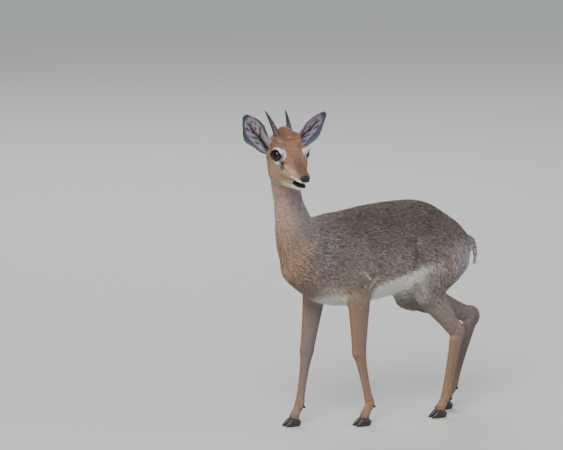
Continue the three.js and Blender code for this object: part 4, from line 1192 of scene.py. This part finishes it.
# Lashes: stiff black hairs rooted in the rim of each upper lid, longest over its middle. They fan forward and
# out, and keep glare and dust off the ball.
LASHES = 34
LASH_WIDTH = 0.36
LASH_LIFT = 0.25
rows = []
for sign in (-1, 1):
    middle, look, long, rise = eye_frame(sign)
    round_lid = np.linspace(0.25, 2.9, LASHES)[:, None]
    spoke = long * np.cos(round_lid) + rise * np.sin(round_lid)
    rows.append([middle + spoke * (EYE_OPENING + 0.6) + look * 1.2, spoke,
                 unit(look + spoke * 0.55 + long * 0.25), 2.2 + 1.6 * np.sin(round_lid)])
root, up, way, length = (np.vstack(column) for column in zip(*rows))
up = unit(up - way * (up * way).sum(1, keepdims=True))
count = len(root)
map_place = np.stack([np.linspace(0, 1, count), np.full(count, 0.5)], 1)
tufts = [root, up, way, length[:, 0], np.full(count, LASH_WIDTH), np.full(count, LASH_LIFT), map_place]
grow("lashes", tufts, [np.tile(BLACK, (count, 1))] * 3, (0.33, 0.66), -0.6)

# The floor, the light and the camera, which looks from the buck's front left, a little above its back.
floor_mesh = bpy.data.meshes.new("floor")
floor_mesh.from_pydata([(-30, -30, 0), (30, -30, 0), (30, 30, 0), (-30, 30, 0)], [], [(0, 1, 2, 3)])
floor = bpy.data.objects.new("floor", floor_mesh)
bpy.context.scene.collection.objects.link(floor)
floor_material, tree, shader = new_material("floor", Base_Color=(0.62, 0.62, 0.6, 1), Roughness=0.9,
                                            Specular_IOR_Level=0.1)
floor_mesh.materials.append(floor_material)

world = bpy.data.worlds.new("studio")
bpy.context.scene.world = world
world.use_nodes = True
sky = world.node_tree.nodes["Background"]
sky.inputs["Color"].default_value = (0.9, 0.95, 1.0, 1)
sky.inputs["Strength"].default_value = 0.62
LIT_MIDDLE = Vector((0, 0, 0.3))


def soft_light(name, place, size, power, colour):
    """A square lamp at a place, facing the buck's middle."""
    lamp = bpy.data.lights.new(name, "AREA")
    lamp.size = size
    lamp.energy = power
    lamp.color = colour
    holder = bpy.data.objects.new(name, lamp)
    holder.location = place
    holder.rotation_mode = "QUATERNION"
    holder.rotation_quaternion = (LIT_MIDDLE - Vector(place)).to_track_quat("-Z", "Y")
    bpy.context.scene.collection.objects.link(holder)


soft_light("key", (-2.0, -2.6, 3.0), 2.0, 145, (1.0, 0.97, 0.93))
soft_light("fill", (2.6, -1.6, 1.6), 2.5, 22, (0.92, 0.95, 1.0))
soft_light("rim", (0.8, 2.8, 2.6), 2.0, 55, (1.0, 0.98, 0.95))

# The photograph is 563 pixels wide, and one millimetre at the buck measures 0.574 of a pixel. The ground
# point under the shoulder shows at (317, 427). DISTANCE is the camera's, in metres, from the buck.
IMAGE = (563, 450)
PIXEL_PER_MM = 0.574
SHOULDER_PIXEL = (317, 427)
AZIMUTH = np.radians(-28)
ELEVATION = np.radians(10)
DISTANCE = 9.0
BUCK_MIDDLE = np.array([90.0, 0, 290])
SENSOR = 36
back = np.array([np.sin(AZIMUTH) * np.cos(ELEVATION), -np.cos(AZIMUTH) * np.cos(ELEVATION),
                 np.sin(ELEVATION)])
right = np.array([np.cos(AZIMUTH), np.sin(AZIMUTH), 0])
rise = np.cross(back, right)
aim = right * (IMAGE[0] / 2 - SHOULDER_PIXEL[0]) / PIXEL_PER_MM
aim = aim + rise * (SHOULDER_PIXEL[1] - IMAGE[1] / 2) / PIXEL_PER_MM
aim = aim + back * (back @ BUCK_MIDDLE - back @ aim)
camera = bpy.data.objects.new("camera", bpy.data.cameras.new("camera"))
bpy.context.scene.collection.objects.link(camera)
bpy.context.scene.camera = camera
camera.data.sensor_width = SENSOR
camera.data.lens = SENSOR * DISTANCE / (IMAGE[0] / PIXEL_PER_MM * MM)
camera.data.clip_end = 60
camera.location = aim * MM + ORIGIN + back * DISTANCE
camera.rotation_mode = "QUATERNION"
camera.rotation_quaternion = Vector(-back).to_track_quat("-Z", "Y")
